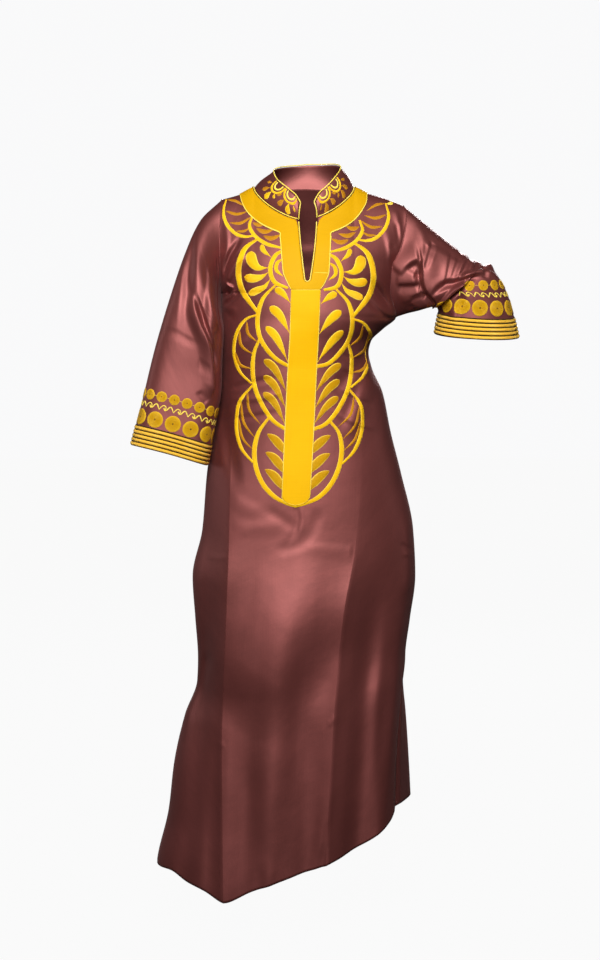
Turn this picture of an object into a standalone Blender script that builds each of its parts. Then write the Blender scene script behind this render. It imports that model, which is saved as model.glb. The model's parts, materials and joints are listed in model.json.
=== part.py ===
# Ankle-length satin boubou, held open as it is worn
# Metres, +Z up, the front faces -Y, +X is the wearer's left, origin at the base of the neck
import math

import bpy
import bmesh
from mathutils import Vector
from mathutils.bvhtree import BVHTree

# Driving dimensions
CLOTH = 0.0012
TRIM = 0.0010
SEAM_GAP = 0.0003
TRIM_LIFT = 0.0009
PIPING_LIFT = 0.0011
EDGE_LIFT = 0.0007
SLEEVE_GAP = 0.0006
COLLAR_GAP = 0.0006
COLLAR_BOW = 0.004
NECK_HALF = 0.0965
NECK_LINE = -0.006
NECK_DROP = 0.0685
NECK_ROUND = 1.5
NECK_RISE = 0.040
BACK_NECK_DROP = 0.041
FRONT_SHOULDER = 0.170
BACK_SHOULDER = 0.130
ARMHOLE_DEPTH = 0.060
UNDERARM_LEFT = -0.2124
UNDERARM_RIGHT = -0.2597
SLIT_BOTTOM = -0.1945
SLIT_ROUND = 0.0075
YOKE_BOTTOM = -0.209
BAND_TOP = -0.2094
BAND_SQUARE = -0.600
BAND_TIP = -0.621
CUFF_BAND = 0.040
CUFF_STRIPES = 5
CUFF_RIDGE = 0.0007
PIPING = 0.0011
BINDING = 0.0009
SECTION_POWER = 2.2
TUCK_REACH = 0.20

# How many faces each piece has
SIDE_COLUMNS = 7
FRONT_COLUMNS = 9
BACK_COLUMNS = 5
UPPER_ROWS = 12
LOWER_ROWS = 18
ROW_CROWDING = 1.25
SLEEVE_ROWS = 15
COLLAR_ROWS = 3

# Body: seam or outline on each side, depth of front and back, and how far the right seam is tucked in
BODY_COLUMNS = ("height", "left", "right", "front", "back", "tuck", "seam")
BODY = (
    (0.000, -0.161, 0.195, 0.066, 0.066, 0.000, 0.000),
    (-0.042, -0.161, 0.195, 0.070, 0.075, 0.000, 0.000),
    (-0.060, -0.162, 0.200, 0.073, 0.080, 0.000, 0.000),
    (-0.090, -0.163, 0.196, 0.084, 0.088, 0.000, 0.000),
    (-0.130, -0.163, 0.186, 0.102, 0.096, 0.000, 0.000),
    (-0.162, -0.163, 0.171, 0.112, 0.101, 0.000, 0.000),
    (-0.208, -0.163, 0.168, 0.121, 0.104, 0.000, 0.000),
    (-0.260, -0.1625, 0.182, 0.1245, 0.103, 0.000, 0.000),
    (-0.283, -0.1625, 0.157, 0.1245, 0.101, 0.000, 0.000),
    (-0.307, -0.1630, 0.133, 0.1235, 0.097, 0.000, 0.000),
    (-0.329, -0.1632, 0.128, 0.1220, 0.094, 0.000, 0.000),
    (-0.361, -0.1636, 0.135, 0.1200, 0.092, 0.000, 0.000),
    (-0.408, -0.168, 0.156, 0.1200, 0.096, 0.000, 0.000),
    (-0.488, -0.181, 0.173, 0.124, 0.108, 0.000, 0.000),
    (-0.570, -0.194, 0.194, 0.131, 0.118, 0.000, 0.000),
    (-0.683, -0.204, 0.219, 0.138, 0.124, 0.000, 0.000),
    (-0.778, -0.224, 0.224, 0.143, 0.128, 0.000, 0.000),
    (-0.860, -0.219, 0.214, 0.147, 0.131, 0.000, 0.000),
    (-0.940, -0.214, 0.205, 0.151, 0.134, 0.000, 0.000),
    (-0.990, -0.216, 0.2095, 0.153, 0.136, 0.0110, 0.020),
    (-1.060, -0.241, 0.2190, 0.157, 0.138, 0.0290, 0.042),
    (-1.160, -0.264, 0.2280, 0.163, 0.142, 0.0440, 0.056),
    (-1.258, -0.276, 0.2345, 0.169, 0.147, 0.0515, 0.060),
    (-1.361, -0.300, 0.2395, 0.175, 0.152, 0.0525, 0.060),
    (-1.420, -0.306, 0.2425, 0.178, 0.155, 0.0525, 0.060),
)

# Shoulder seams, from tip to tip
SHOULDER_COLUMNS = ("across", "height")
SHOULDER = (
    (-0.161, -0.030),
    (-0.126, -0.020),
    (-0.0965, -0.006),
    (0.0965, -0.006),
    (0.123, -0.017),
    (0.162, -0.029),
    (0.195, -0.042),
)

# The row of faces that passes both underarms and the bottom of the slit
CHEST_COLUMNS = ("across", "height")
CHEST = (
    (-0.163, UNDERARM_LEFT),
    (-0.100, -0.2050),
    (0.006, SLIT_BOTTOM),
    (0.100, -0.2150),
    (0.182, UNDERARM_RIGHT),
)

HEM_COLUMNS = ("across", "front", "back")
HEM = (
    (-0.301, -1.361, -1.361),
    (-0.264, -1.352, -1.360),
    (-0.231, -1.367, -1.358),
    (-0.205, -1.372, -1.354),
    (-0.158, -1.392, -1.346),
    (-0.095, -1.366, -1.335),
    (-0.020, -1.339, -1.320),
    (0.060, -1.311, -1.297),
    (0.090, -1.2985, -1.285),
    (0.129, -1.279, -1.272),
    (0.157, -1.262, -1.261),
    (0.172, -1.251, -1.256),
    (0.186, -1.234, -1.252),
    (0.222, -1.234, -1.240),
)

SIDE_HEM = (-1.361, -1.234)

# Lines that the columns of faces follow: pressed creases and the centre
GUIDE_COLUMNS = ("height", "left_crease", "right_crease", "centre", "back_left", "back_right")
GUIDES = (
    (0.000, -0.0965, 0.0965, 0.0065, -0.0965, 0.0965),
    (-0.115, -0.108, 0.101, 0.0070, -0.100, 0.098),
    (-0.195, -0.118, 0.107, 0.0060, -0.103, 0.100),
    (-0.400, -0.135, 0.113, -0.0040, -0.107, 0.100),
    (-0.573, -0.143, 0.110, -0.0130, -0.112, 0.105),
    (-0.709, -0.146, 0.098, -0.0160, -0.120, 0.107),
    (-0.820, -0.150, 0.077, -0.0165, -0.126, 0.107),
    (-0.942, -0.155, 0.064, -0.0170, -0.132, 0.107),
    (-1.080, -0.160, 0.054, -0.0175, -0.138, 0.107),
    (-1.230, -0.159, 0.046, -0.0180, -0.144, 0.106),
    (-1.400, -0.157, 0.040, -0.0190, -0.150, 0.105),
)

SLIT_COLUMNS = ("height", "half")
SLIT = (
    (-0.187, 0.0070),
    (-0.162, 0.0105),
    (-0.114, 0.0160),
    (-0.060, 0.0200),
)

# Pressed creases, raised more towards the hem
CREASE_COLUMNS = ("height", "front", "back")
CREASES = (
    (-0.520, 0.0000, 0.0000),
    (-0.640, 0.0045, 0.0030),
    (-0.900, 0.0080, 0.0060),
    (-1.400, 0.0100, 0.0080),
)
CREASE_WIDTH = 0.055

# Soft folds: where each starts and ends, how far it stands out, half its width, and if it runs out at the end
FOLD_COLUMNS = ("start_x", "start_z", "end_x", "end_z", "rise", "width", "runs_out")
FRONT_FOLDS = (
    (-0.188, -0.760, -0.232, -1.400, -0.011, 0.034, 1),
    (-0.030, -0.760, -0.088, -1.400, 0.007, 0.050, 1),
    (0.135, -0.780, 0.098, -1.320, -0.010, 0.034, 1),
    (0.196, -0.800, 0.152, -1.300, 0.009, 0.030, 1),
    (-0.164, -0.236, -0.098, -0.150, -0.007, 0.016, 0),
    (0.186, -0.262, 0.118, -0.180, -0.008, 0.018, 0),
    (0.138, -0.322, 0.050, -0.405, -0.006, 0.020, 0),
    (0.142, -0.350, 0.080, -0.500, 0.006, 0.024, 0),
    (-0.166, -0.400, -0.130, -0.600, -0.006, 0.022, 0),
)
BACK_FOLDS = (
    (-0.210, -0.800, -0.246, -1.400, -0.011, 0.036, 1),
    (-0.070, -0.620, -0.082, -1.400, -0.009, 0.034, 1),
    (0.000, -0.560, -0.004, -1.400, 0.010, 0.040, 1),
    (0.058, -0.660, 0.060, -1.400, -0.009, 0.032, 1),
    (0.165, -0.760, 0.160, -1.400, 0.009, 0.034, 1),
    (-0.160, -0.240, -0.085, -0.160, -0.006, 0.018, 0),
    (0.184, -0.262, 0.095, -0.170, -0.007, 0.018, 0),
    (0.128, -0.330, 0.030, -0.430, -0.006, 0.022, 0),
)

# Sleeves: outer and inner edge of each ring, its depth in front and behind, its shift and its tilt
SLEEVE_COLUMNS = ("along", "out_x", "out_z", "in_x", "in_z", "front", "back", "shift", "drop")
SLEEVE_RIGHT = (
    (0.00, -0.161, -0.030, -0.164, -0.212, 0.060, 0.060, 0.000, 0.000),
    (0.12, -0.2045, -0.072, -0.1636, -0.246, 0.069, 0.064, -0.012, 0.000),
    (0.30, -0.2330, -0.134, -0.1596, -0.290, 0.070, 0.066, -0.042, 0.000),
    (0.48, -0.2620, -0.224, -0.162, -0.342, 0.068, 0.064, -0.052, 0.000),
    (0.64, -0.2920, -0.329, -0.164, -0.402, 0.065, 0.062, -0.052, 0.002),
    (0.82, -0.3145, -0.420, -0.172, -0.460, 0.065, 0.062, -0.054, 0.004),
    (1.00, -0.339, -0.508, -0.189, -0.549, 0.068, 0.066, -0.054, 0.006),
)
SLEEVE_LEFT = (
    (0.00, 0.195, -0.042, 0.182, -0.260, 0.060, 0.060, 0.000, 0.000),
    (0.14, 0.236, -0.075, 0.205, -0.2525, 0.068, 0.066, -0.002, 0.000),
    (0.28, 0.278, -0.109, 0.226, -0.2475, 0.072, 0.070, -0.004, 0.000),
    (0.42, 0.312, -0.134, 0.243, -0.2425, 0.074, 0.072, -0.006, 0.000),
    (0.54, 0.338, -0.150, 0.254, -0.2400, 0.075, 0.073, -0.007, 0.000),
    (0.66, 0.361, -0.158, 0.262, -0.2410, 0.075, 0.073, -0.008, -0.001),
    (0.76, 0.385, -0.185, 0.265, -0.2470, 0.074, 0.072, -0.008, -0.003),
    (0.86, 0.402, -0.218, 0.264, -0.2570, 0.072, 0.071, -0.008, -0.005),
    (0.93, 0.414, -0.258, 0.261, -0.2730, 0.072, 0.070, -0.008, -0.007),
    (1.00, 0.424, -0.299, 0.258, -0.2910, 0.073, 0.071, -0.008, -0.009),
)

# Sleeve folds: angle 0 is the outer edge, 90 the front, 180 the inner edge
SLEEVE_FOLD_COLUMNS = ("start_t", "start_a", "end_t", "end_a", "rise", "width")
SLEEVE_RIGHT_FOLDS = (
    (0.05, 100.0, 0.55, 128.0, 0.006, 20.0),
    (0.10, 140.0, 0.62, 152.0, -0.007, 18.0),
    (0.45, 70.0, 0.85, 150.0, -0.006, 16.0),
    (0.52, 40.0, 0.80, 95.0, 0.005, 20.0),
    (0.15, 230.0, 0.70, 215.0, -0.007, 22.0),
    (0.30, 300.0, 0.85, 270.0, 0.006, 22.0),
)
SLEEVE_LEFT_FOLDS = (
    (0.05, 50.0, 0.55, 35.0, -0.006, 16.0),
    (0.30, 120.0, 0.74, 60.0, -0.008, 18.0),
    (0.45, 90.0, 0.80, 20.0, 0.006, 18.0),
    (0.55, 110.0, 0.86, 120.0, -0.006, 20.0),
    (0.10, 150.0, 0.60, 150.0, 0.005, 20.0),
    (0.15, 240.0, 0.74, 290.0, -0.008, 22.0),
    (0.45, 215.0, 0.84, 225.0, 0.006, 22.0),
)

# Collar: height of the top edge by the angle from the front, to the wearer's right and left
COLLAR_CENTRE = (0.006, -0.010)
COLLAR_HALF = 0.066
COLLAR_FRONT = 0.063
COLLAR_BACK = 0.062
COLLAR_START = 12.0
COLLAR_CORNER = 0.010
COLLAR_TOP_COLUMNS = ("angle", "left", "right")
COLLAR_TOP = (
    (12.0, -0.031, -0.029),
    (25.0, -0.022, -0.019),
    (40.0, -0.010, -0.006),
    (60.0, 0.003, 0.012),
    (90.0, 0.023, 0.031),
    (135.0, 0.036, 0.041),
    (180.0, 0.042, 0.042),
)

# Outer edge of the yoke and slit surround on each side, matched to stations of the neck and slit
YOKE_COLUMNS = ("inner_x", "outer_left_x", "outer_left_z", "outer_right_x", "outer_right_z")
YOKE_NECK = (
    (0.0965, -0.1260, -0.0205, 0.1230, -0.0175),
    (0.0900, -0.1200, -0.0400, 0.1220, -0.0340),
    (0.0800, -0.1100, -0.0580, 0.1140, -0.0520),
    (0.0660, -0.0940, -0.0740, 0.1010, -0.0700),
    (0.0500, -0.0760, -0.0860, 0.0840, -0.0840),
    (0.0340, -0.0600, -0.0940, 0.0660, -0.0940),
)
SURROUND_COLUMNS = ("inner_z", "outer_left_x", "outer_left_z", "outer_right_x", "outer_right_z")
YOKE_SLIT = (
    (-0.0730, -0.0470, -0.1000, 0.0520, -0.1000),
    (-0.0950, -0.0450, -0.1200, 0.0505, -0.1200),
    (-0.1200, -0.0435, -0.1400, 0.0495, -0.1400),
    (-0.1450, -0.0420, -0.1580, 0.0485, -0.1580),
    (-0.1680, -0.0400, -0.1760, 0.0470, -0.1770),
    (-0.1860, -0.0320, -0.1960, 0.0390, -0.1970),
    (-0.1915, -0.0250, -0.2085, 0.0310, -0.2085),
)
YOKE_STRIPS = 4
YOKE_NECK_STEPS = 14
YOKE_SLIT_STEPS = 12
YOKE_INSET = 0.0036

BAND_COLUMNS = ("height", "left", "right")
BAND = (
    (-0.209, -0.025, 0.031),
    (-0.285, -0.027, 0.028),
    (-0.360, -0.0315, 0.0240),
    (-0.471, -0.037, 0.019),
    (-0.621, -0.0435, 0.0105),
)
BAND_ROWS = 18
TIP_ROWS = 3

CLOTH_COLOUR = (0.205, 0.068, 0.066, 1.0)
YELLOW_COLOUR = (0.90, 0.58, 0.008, 1.0)
PIPING_COLOUR = (0.95, 0.75, 0.12, 1.0)


def table_curve(rows, column):
    # Smooth curve through one column of a table, which never overshoots its rows
    rows = sorted(rows)
    xs = [row[0] for row in rows]
    ys = [row[column] for row in rows]
    slopes = [(ys[i + 1] - ys[i]) / (xs[i + 1] - xs[i]) for i in range(len(xs) - 1)]
    tangents = [slopes[0]]
    for before, after in zip(slopes, slopes[1:]):
        same_way = before * after > 0.0
        tangents.append(2.0 * before * after / (before + after) if same_way else 0.0)
    tangents.append(slopes[-1])

    def value(x):
        if x <= xs[0]:
            return ys[0]
        if x >= xs[-1]:
            return ys[-1]
        i = max(k for k in range(len(xs) - 1) if xs[k] <= x)
        span = xs[i + 1] - xs[i]
        t = (x - xs[i]) / span
        start = (1 + 2 * t) * (1 - t) ** 2 * ys[i] + t * (1 - t) ** 2 * span * tangents[i]
        end = t * t * (3 - 2 * t) * ys[i + 1] - t * t * (1 - t) * span * tangents[i + 1]
        return start + end

    return value


def curves(names, rows):
    return {name: table_curve(rows, i) for i, name in enumerate(names) if i > 0}


body = curves(BODY_COLUMNS, BODY)
shoulder = curves(SHOULDER_COLUMNS, SHOULDER)["height"]
chest = curves(CHEST_COLUMNS, CHEST)["height"]
hem = curves(HEM_COLUMNS, HEM)
guide = curves(GUIDE_COLUMNS, GUIDES)
slit = curves(SLIT_COLUMNS, SLIT)["half"]
crease = curves(CREASE_COLUMNS, CREASES)
band = curves(BAND_COLUMNS, BAND)
collar_top = curves(COLLAR_TOP_COLUMNS, COLLAR_TOP)


def smooth(t):
    t = min(max(t, 0.0), 1.0)
    return t * t * (3.0 - 2.0 * t)


def mix(a, b, t):
    return a + (b - a) * t


def ridge_height(x):
    # The shoulder seams, and between them the line that they would meet on
    rise = max(0.0, 1.0 - (x / NECK_HALF) ** 2) * NECK_RISE
    return shoulder(x) + rise


def over_shoulder(x, z, reach):
    t = min(max((ridge_height(x) - z) / reach, 0.0), 1.0)
    return math.sqrt(1.0 - (1.0 - t) ** 2)


def edge_depth(z, underarm):
    # Half the armhole's depth at a height: it closes at the underarm, and the shoulder closes the top
    if z <= underarm:
        return 0.0
    middle = mix(underarm, 0.0, 0.5)
    if z >= middle:
        return ARMHOLE_DEPTH
    t = (middle - z) / (middle - underarm)
    return ARMHOLE_DEPTH * math.sqrt(1.0 - t * t)


def fold_sum(folds, x, z):
    total = 0.0
    for start_x, start_z, end_x, end_z, rise, width, runs_out in folds:
        dx = end_x - start_x
        dz = end_z - start_z
        length = math.hypot(dx, dz)
        along = ((x - start_x) * dx + (z - start_z) * dz) / length ** 2
        across = ((x - start_x) * dz - (z - start_z) * dx) / length / width
        if abs(across) >= 1.0 or along <= 0.0 or (along >= 1.0 and not runs_out):
            continue
        fade = smooth(along / 0.35)
        if not runs_out:
            fade = fade * smooth((1.0 - along) / 0.35)
        total = total + rise * fade * math.cos(across * math.pi / 2) ** 2
    return total


def crease_rise(x, z, lines, amount):
    total = 0.0
    for line in lines:
        t = abs(x - guide[line](z)) / CREASE_WIDTH
        if t < 1.0:
            total = total + amount(z) * (1.0 - t) ** 2
    return total


def wall_y(x, z, is_front):
    # Depth of the front or back cloth at a place seen from the front
    right = body["right"](z) - (body["tuck"](z) if is_front else 0.0)
    left = body["left"](z)
    middle = (left + right) / 2
    s = min(abs(x - middle) / (right - left) * 2, 1.0)
    on_right = x > middle
    underarm = UNDERARM_RIGHT if on_right else UNDERARM_LEFT
    side = edge_depth(z, underarm)
    if is_front and on_right:
        side = max(side, body["seam"](z))
    upper = smooth((z - underarm + 0.03) / 0.09)
    bulge = (1.0 - s ** SECTION_POWER) ** mix(1.0 / SECTION_POWER, 0.85, upper)
    depth = body["front" if is_front else "back"](z)
    y = side + (depth - side) * bulge
    edge_fade = smooth((1.0 - s) / 0.10)
    if is_front:
        rise = fold_sum(FRONT_FOLDS, x, z)
        rise = rise + crease_rise(x, z, ("left_crease", "right_crease"), crease["front"])
    else:
        rise = fold_sum(BACK_FOLDS, x, z)
        rise = rise + crease_rise(x, z, ("back_left", "back_right"), crease["back"])
    reach = FRONT_SHOULDER if is_front else BACK_SHOULDER
    y = (y + rise * edge_fade) * over_shoulder(x, z, reach)
    return -y if is_front else y


def neck_front(x):
    t = min(abs(x) / NECK_HALF, 1.0)
    return NECK_LINE - NECK_DROP * (1.0 - t ** NECK_ROUND) ** (1.0 / NECK_ROUND)


def neck_back(x):
    return ridge_height(x) - BACK_NECK_DROP * max(0.0, 1.0 - (x / NECK_HALF) ** 2) ** 0.5


def slit_half(z):
    if z <= SLIT_BOTTOM:
        return 0.0
    square = SLIT_BOTTOM + SLIT_ROUND
    if z >= square:
        return slit(z)
    t = (square - z) / SLIT_ROUND
    return slit(square) * math.sqrt(max(0.0, 1.0 - t * t))


def crowd(f, evenness):
    # Columns crowd towards the side, or towards the point of the neck, where the edge turns fastest
    return mix(1.0 - math.cos(f * math.pi / 2), f, evenness)


def front_column(is_right, region, f):
    # One column of the front, as a function from height to place across
    side = "right" if is_right else "left"
    turn = 1.0 if is_right else -1.0

    def across(z):
        edge = body[side](z) - (body["tuck"](z) if is_right else 0.0)
        fold = guide[side + "_crease"](z)
        centre = guide["centre"](z) + turn * slit_half(z)
        if region == 0:
            return mix(edge, fold, crowd(f, 0.4))
        return mix(fold, centre, crowd(f, 0.25))

    return across


def back_column(is_right, region, f):
    side = "right" if is_right else "left"

    def across(z):
        edge = body[side](z)
        fold = guide["back_" + side](z)
        if region == 0:
            return mix(edge, fold, crowd(f, 0.4))
        return mix(fold, guide["centre"](z), crowd(f, 0.25))

    return across


def settle(across, edge, start):
    # Where a column meets an edge that is given as heights across
    z = start
    for _ in range(12):
        z = edge(across(z))
    return z


def row_heights(low, middle, high):
    heights = [mix(middle, low, (1.0 - i / LOWER_ROWS) ** ROW_CROWDING) for i in range(LOWER_ROWS)]
    for i in range(UPPER_ROWS + 1):
        heights.append(mix(middle, high, (1.0 - math.cos(i * math.pi / UPPER_ROWS)) / 2))
    return heights


def front_half(is_right):
    columns = [(0, i / SIDE_COLUMNS) for i in range(SIDE_COLUMNS + 1)]
    columns += [(1, (i + 1) / FRONT_COLUMNS) for i in range(FRONT_COLUMNS)]
    grid = []
    for region, f in columns:
        across = front_column(is_right, region, f)
        low = settle(across, hem["front"], -1.3) if (region, f) != (0, 0.0) else SIDE_HEM[is_right]
        middle = settle(across, chest, -0.2)
        high = settle(across, shoulder if region == 0 else neck_front, -0.03)
        points = []
        for z in row_heights(low, middle, high):
            x = across(z)
            points.append(Vector((x, wall_y(x, z, True), z)))
        grid.append(points)
    for point in grid[0]:
        point.y = point.y - SEAM_GAP
    for points in grid[:SIDE_COLUMNS + 1]:
        points[-1].y = points[-1].y - SEAM_GAP
    return grid


def back_half(is_right):
    columns = [(0, i / SIDE_COLUMNS) for i in range(SIDE_COLUMNS + 1)]
    columns += [(1, (i + 1) / BACK_COLUMNS) for i in range(BACK_COLUMNS)]
    grid = []
    for region, f in columns:
        across = back_column(is_right, region, f)
        low = settle(across, hem["back"], -1.3) if (region, f) != (0, 0.0) else SIDE_HEM[is_right]
        middle = settle(across, chest, -0.2)
        high = settle(across, shoulder if region == 0 else neck_back, -0.03)
        points = []
        for z in row_heights(low, middle, high):
            x = across(z)
            y = wall_y(x, z, False)
            if is_right and region == 0 and f < TUCK_REACH:
                # The right seam is tucked in and forward under the front's edge
                share = (1.0 - f / TUCK_REACH) ** 2
                x = x - body["tuck"](z) * share
                y = y - body["seam"](z) * share
            points.append(Vector((x, y + SEAM_GAP, z)))
        grid.append(points)
    for points in grid[:SIDE_COLUMNS + 1]:
        points[-1].y = points[-1].y + SEAM_GAP
    return grid


def grid_mesh(name, grids, closed, outward):
    # Faces between neighbouring columns of points, welded where the grids meet, and turned outwards
    mesh = bmesh.new()
    for grid in grids:
        made = [[mesh.verts.new(point) for point in points] for points in grid]
        if closed:
            made.append(made[0])
        for first, second in zip(made, made[1:]):
            for i in range(len(first) - 1):
                mesh.faces.new((first[i], second[i], second[i + 1], first[i + 1]))
    bmesh.ops.remove_doubles(mesh, verts=mesh.verts, dist=0.00002)
    bmesh.ops.recalc_face_normals(mesh, faces=mesh.faces)
    facing = sum(face.normal.dot(outward(face.calc_center_median())) for face in mesh.faces)
    if facing < 0.0:
        bmesh.ops.reverse_faces(mesh, faces=mesh.faces)
    data = bpy.data.meshes.new(name)
    mesh.to_mesh(data)
    mesh.free()
    data.shade_smooth()
    return data


def material(name, colour, roughness):
    made = bpy.data.materials.new(name)
    made.use_nodes = True
    shader = made.node_tree.nodes["Principled BSDF"]
    shader.inputs["Base Color"].default_value = colour
    shader.inputs["Roughness"].default_value = roughness
    return made


def add_piece(name, data, finish, thickness):
    # An open surface gets its thickness on the inside
    piece = bpy.data.objects.new(name, data)
    parts.objects.link(piece)
    data.materials.append(finish)
    if thickness:
        wall = piece.modifiers.new("wall", "SOLIDIFY")
        wall.thickness = thickness
        wall.offset = -1.0
    return piece


def face_tree(data):
    corners = [vert.co.copy() for vert in data.vertices]
    return BVHTree.FromPolygons(corners, [tuple(face.vertices) for face in data.polygons])


def forwards(_centre):
    return Vector((0.0, -1.0, 0.0))


def backwards(_centre):
    return Vector((0.0, 1.0, 0.0))


def wall_normal(x, z, is_front):
    step = 0.001
    across = wall_y(x + step, z, is_front) - wall_y(x - step, z, is_front)
    top = min(z + step, ridge_height(x))
    rise = wall_y(x, top, is_front) - wall_y(x, z - step, is_front)
    slope = Vector((across / (2 * step), -1.0, rise / (top - z + step))).normalized()
    return slope if is_front else -slope


def on_wall(place, lift, is_front):
    # The nearest place on the front's or back's own faces, moved out
    tree = front_tree if is_front else back_tree
    near = tree.find_nearest(place)[0]
    return near + wall_normal(near.x, near.z, is_front) * lift


def on_front(x, z, lift):
    return on_wall(Vector((x, wall_y(x, z, True), z)), lift, True)


def sleeve_table(rows):
    return curves(SLEEVE_COLUMNS, rows)


def sleeve_ellipse(table, t, angle):
    outer = Vector((table["out_x"](t), 0.0, table["out_z"](t)))
    inner = Vector((table["in_x"](t), 0.0, table["in_z"](t)))
    middle = (outer + inner) / 2
    turn = math.radians(angle)
    depth = table["front"](t) if angle <= 180.0 else table["back"](t)
    point = middle + (outer - middle) * math.cos(turn)
    point.y = table["shift"](t) - depth * math.sin(turn)
    point.z = point.z + table["drop"](t) * abs(math.sin(turn))
    return point, Vector((middle.x, table["shift"](t), middle.z))


def sleeve_point(table, folds, armhole, t, j, lift=0.0):
    angle = 360.0 * j / len(armhole)
    point, middle = sleeve_ellipse(table, t, angle)
    start = sleeve_ellipse(table, 0.0, angle)[0]
    point = point + (armhole[j] - start) * (1.0 - smooth(t / 0.16))
    rise = lift
    for start_t, start_a, end_t, end_a, height, width in folds:
        along = (t - start_t) / (end_t - start_t)
        if 0.0 < along < 1.0:
            across = (angle - mix(start_a, end_a, along)) / width
            if abs(across) < 1.0:
                fade = smooth(along / 0.3) * smooth((1.0 - along) / 0.3)
                rise = rise + height * fade * math.cos(across * math.pi / 2) ** 2
    return point + (point - middle).normalized() * rise


def armhole_ring(front_edge, back_edge, shift):
    # From the shoulder tip down the front to the underarm and up the back
    front_up = front_edge[-UPPER_ROWS - 1:]
    back_up = back_edge[-UPPER_ROWS - 1:]
    ring = [(front_up[-1] + back_up[-1]) / 2]
    ring += list(reversed(front_up[1:-1]))
    ring.append((front_up[0] + back_up[0]) / 2)
    ring += list(back_up[1:-1])
    return [point + Vector((shift, 0.0, 0.0)) for point in ring]


def sleeve_outward(centre_x, centre_z):
    return lambda centre: Vector((centre.x - centre_x, centre.y, centre.z - centre_z))


def build_sleeve(name, table, folds, armhole):
    stations = [i / SLEEVE_ROWS for i in range(SLEEVE_ROWS + 1)]
    grid = []
    for j in range(len(armhole)):
        grid.append([sleeve_point(table, folds, armhole, t, j) for t in stations])
    middle = sleeve_ellipse(table, 0.5, 0.0)[1]
    data = grid_mesh(name, [grid], True, sleeve_outward(middle.x, middle.z))
    add_piece(name, data, satin, CLOTH)


def build_cuff_band(name, table, folds, armhole):
    # Five rounded stripes stand on a plain inner side, 0.5 mm clear of the sleeve
    count = len(armhole)
    edge = (sleeve_point(table, folds, armhole, 1.0, 6) - sleeve_point(table, folds, armhole, 0.9, 6)).length
    depth_t = CUFF_BAND / edge * 0.1
    rows = CUFF_STRIPES * 2 + 1
    mesh = bmesh.new()
    outer = []
    for i in range(rows):
        t = 1.0 - depth_t * (1.0 - i / (rows - 1)) - 0.002
        ridge = CUFF_RIDGE if i % 2 else 0.0
        lift = TRIM_LIFT + TRIM + ridge
        outer.append([mesh.verts.new(sleeve_point(table, folds, armhole, t, j, lift)) for j in range(count)])
    inner = []
    for t in (1.0 - depth_t - 0.002, 1.0 - depth_t / 2 - 0.002, 0.998):
        inner.append([mesh.verts.new(sleeve_point(table, folds, armhole, t, j, TRIM_LIFT)) for j in range(count)])
    loops = outer + list(reversed(inner))
    for first, second in zip(loops, loops[1:] + loops[:1]):
        for j in range(count):
            after = (j + 1) % count
            mesh.faces.new((first[j], first[after], second[after], second[j]))
    bmesh.ops.recalc_face_normals(mesh, faces=mesh.faces)
    data = bpy.data.meshes.new(name)
    mesh.to_mesh(data)
    mesh.free()
    add_piece(name, data, yellow, 0.0)


def collar_foot():
    # The neck edge, from the slit round the back to the slit again, with the angle of each point from the front
    stations = []
    for half_index in (0, 1):
        front_edge = [points[-1] for points in front_grids[half_index][SIDE_COLUMNS:]]
        back_edge = [points[-1] for points in back_grids[half_index][SIDE_COLUMNS:]]
        neck_point = (front_edge[0] + back_edge[0]) / 2
        first = front_edge[-1]
        half = []
        for point in reversed(front_edge[1:]):
            share = math.acos(min(1.0, abs(point.x) / NECK_HALF))
            start = math.acos(abs(first.x) / NECK_HALF)
            half.append((mix(90.0, COLLAR_START, share / start), half_index, point))
        half.append((90.0, half_index, neck_point))
        for point in back_edge[1:]:
            share = math.acos(min(1.0, abs(point.x) / NECK_HALF)) / (math.pi / 2)
            half.append((mix(90.0, 180.0, share), half_index, point))
        stations.append(half)
    centre_back = (180.0, 0, stations[0][-1][2])
    return stations[0][:-1] + [centre_back] + list(reversed(stations[1][:-1]))


def collar_grid():
    grid = []
    for angle, is_right, foot in collar_foot():
        turn = 1.0 if is_right else -1.0
        a = math.radians(angle)
        depth = COLLAR_FRONT if angle <= 90.0 else COLLAR_BACK
        top_x = COLLAR_CENTRE[0] + turn * COLLAR_HALF * math.sin(a)
        top_y = COLLAR_CENTRE[1] - depth * math.cos(a)
        top = Vector((top_x, top_y, collar_top["right" if is_right else "left"](angle)))
        rise = top - foot
        near_front = max(0.0, 1.0 - (angle - COLLAR_START) / 14.0)
        rise = rise * (1.0 - COLLAR_CORNER / rise.length * near_front ** 2)
        out = Vector((foot.x, foot.y, 0.0)).normalized()
        points = []
        for i in range(COLLAR_ROWS + 1):
            t = i / COLLAR_ROWS
            start = rise.normalized() * COLLAR_GAP
            points.append(foot + start + rise * t + out * COLLAR_BOW * math.sin(t * math.pi))
        grid.append(points)
    return grid


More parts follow.
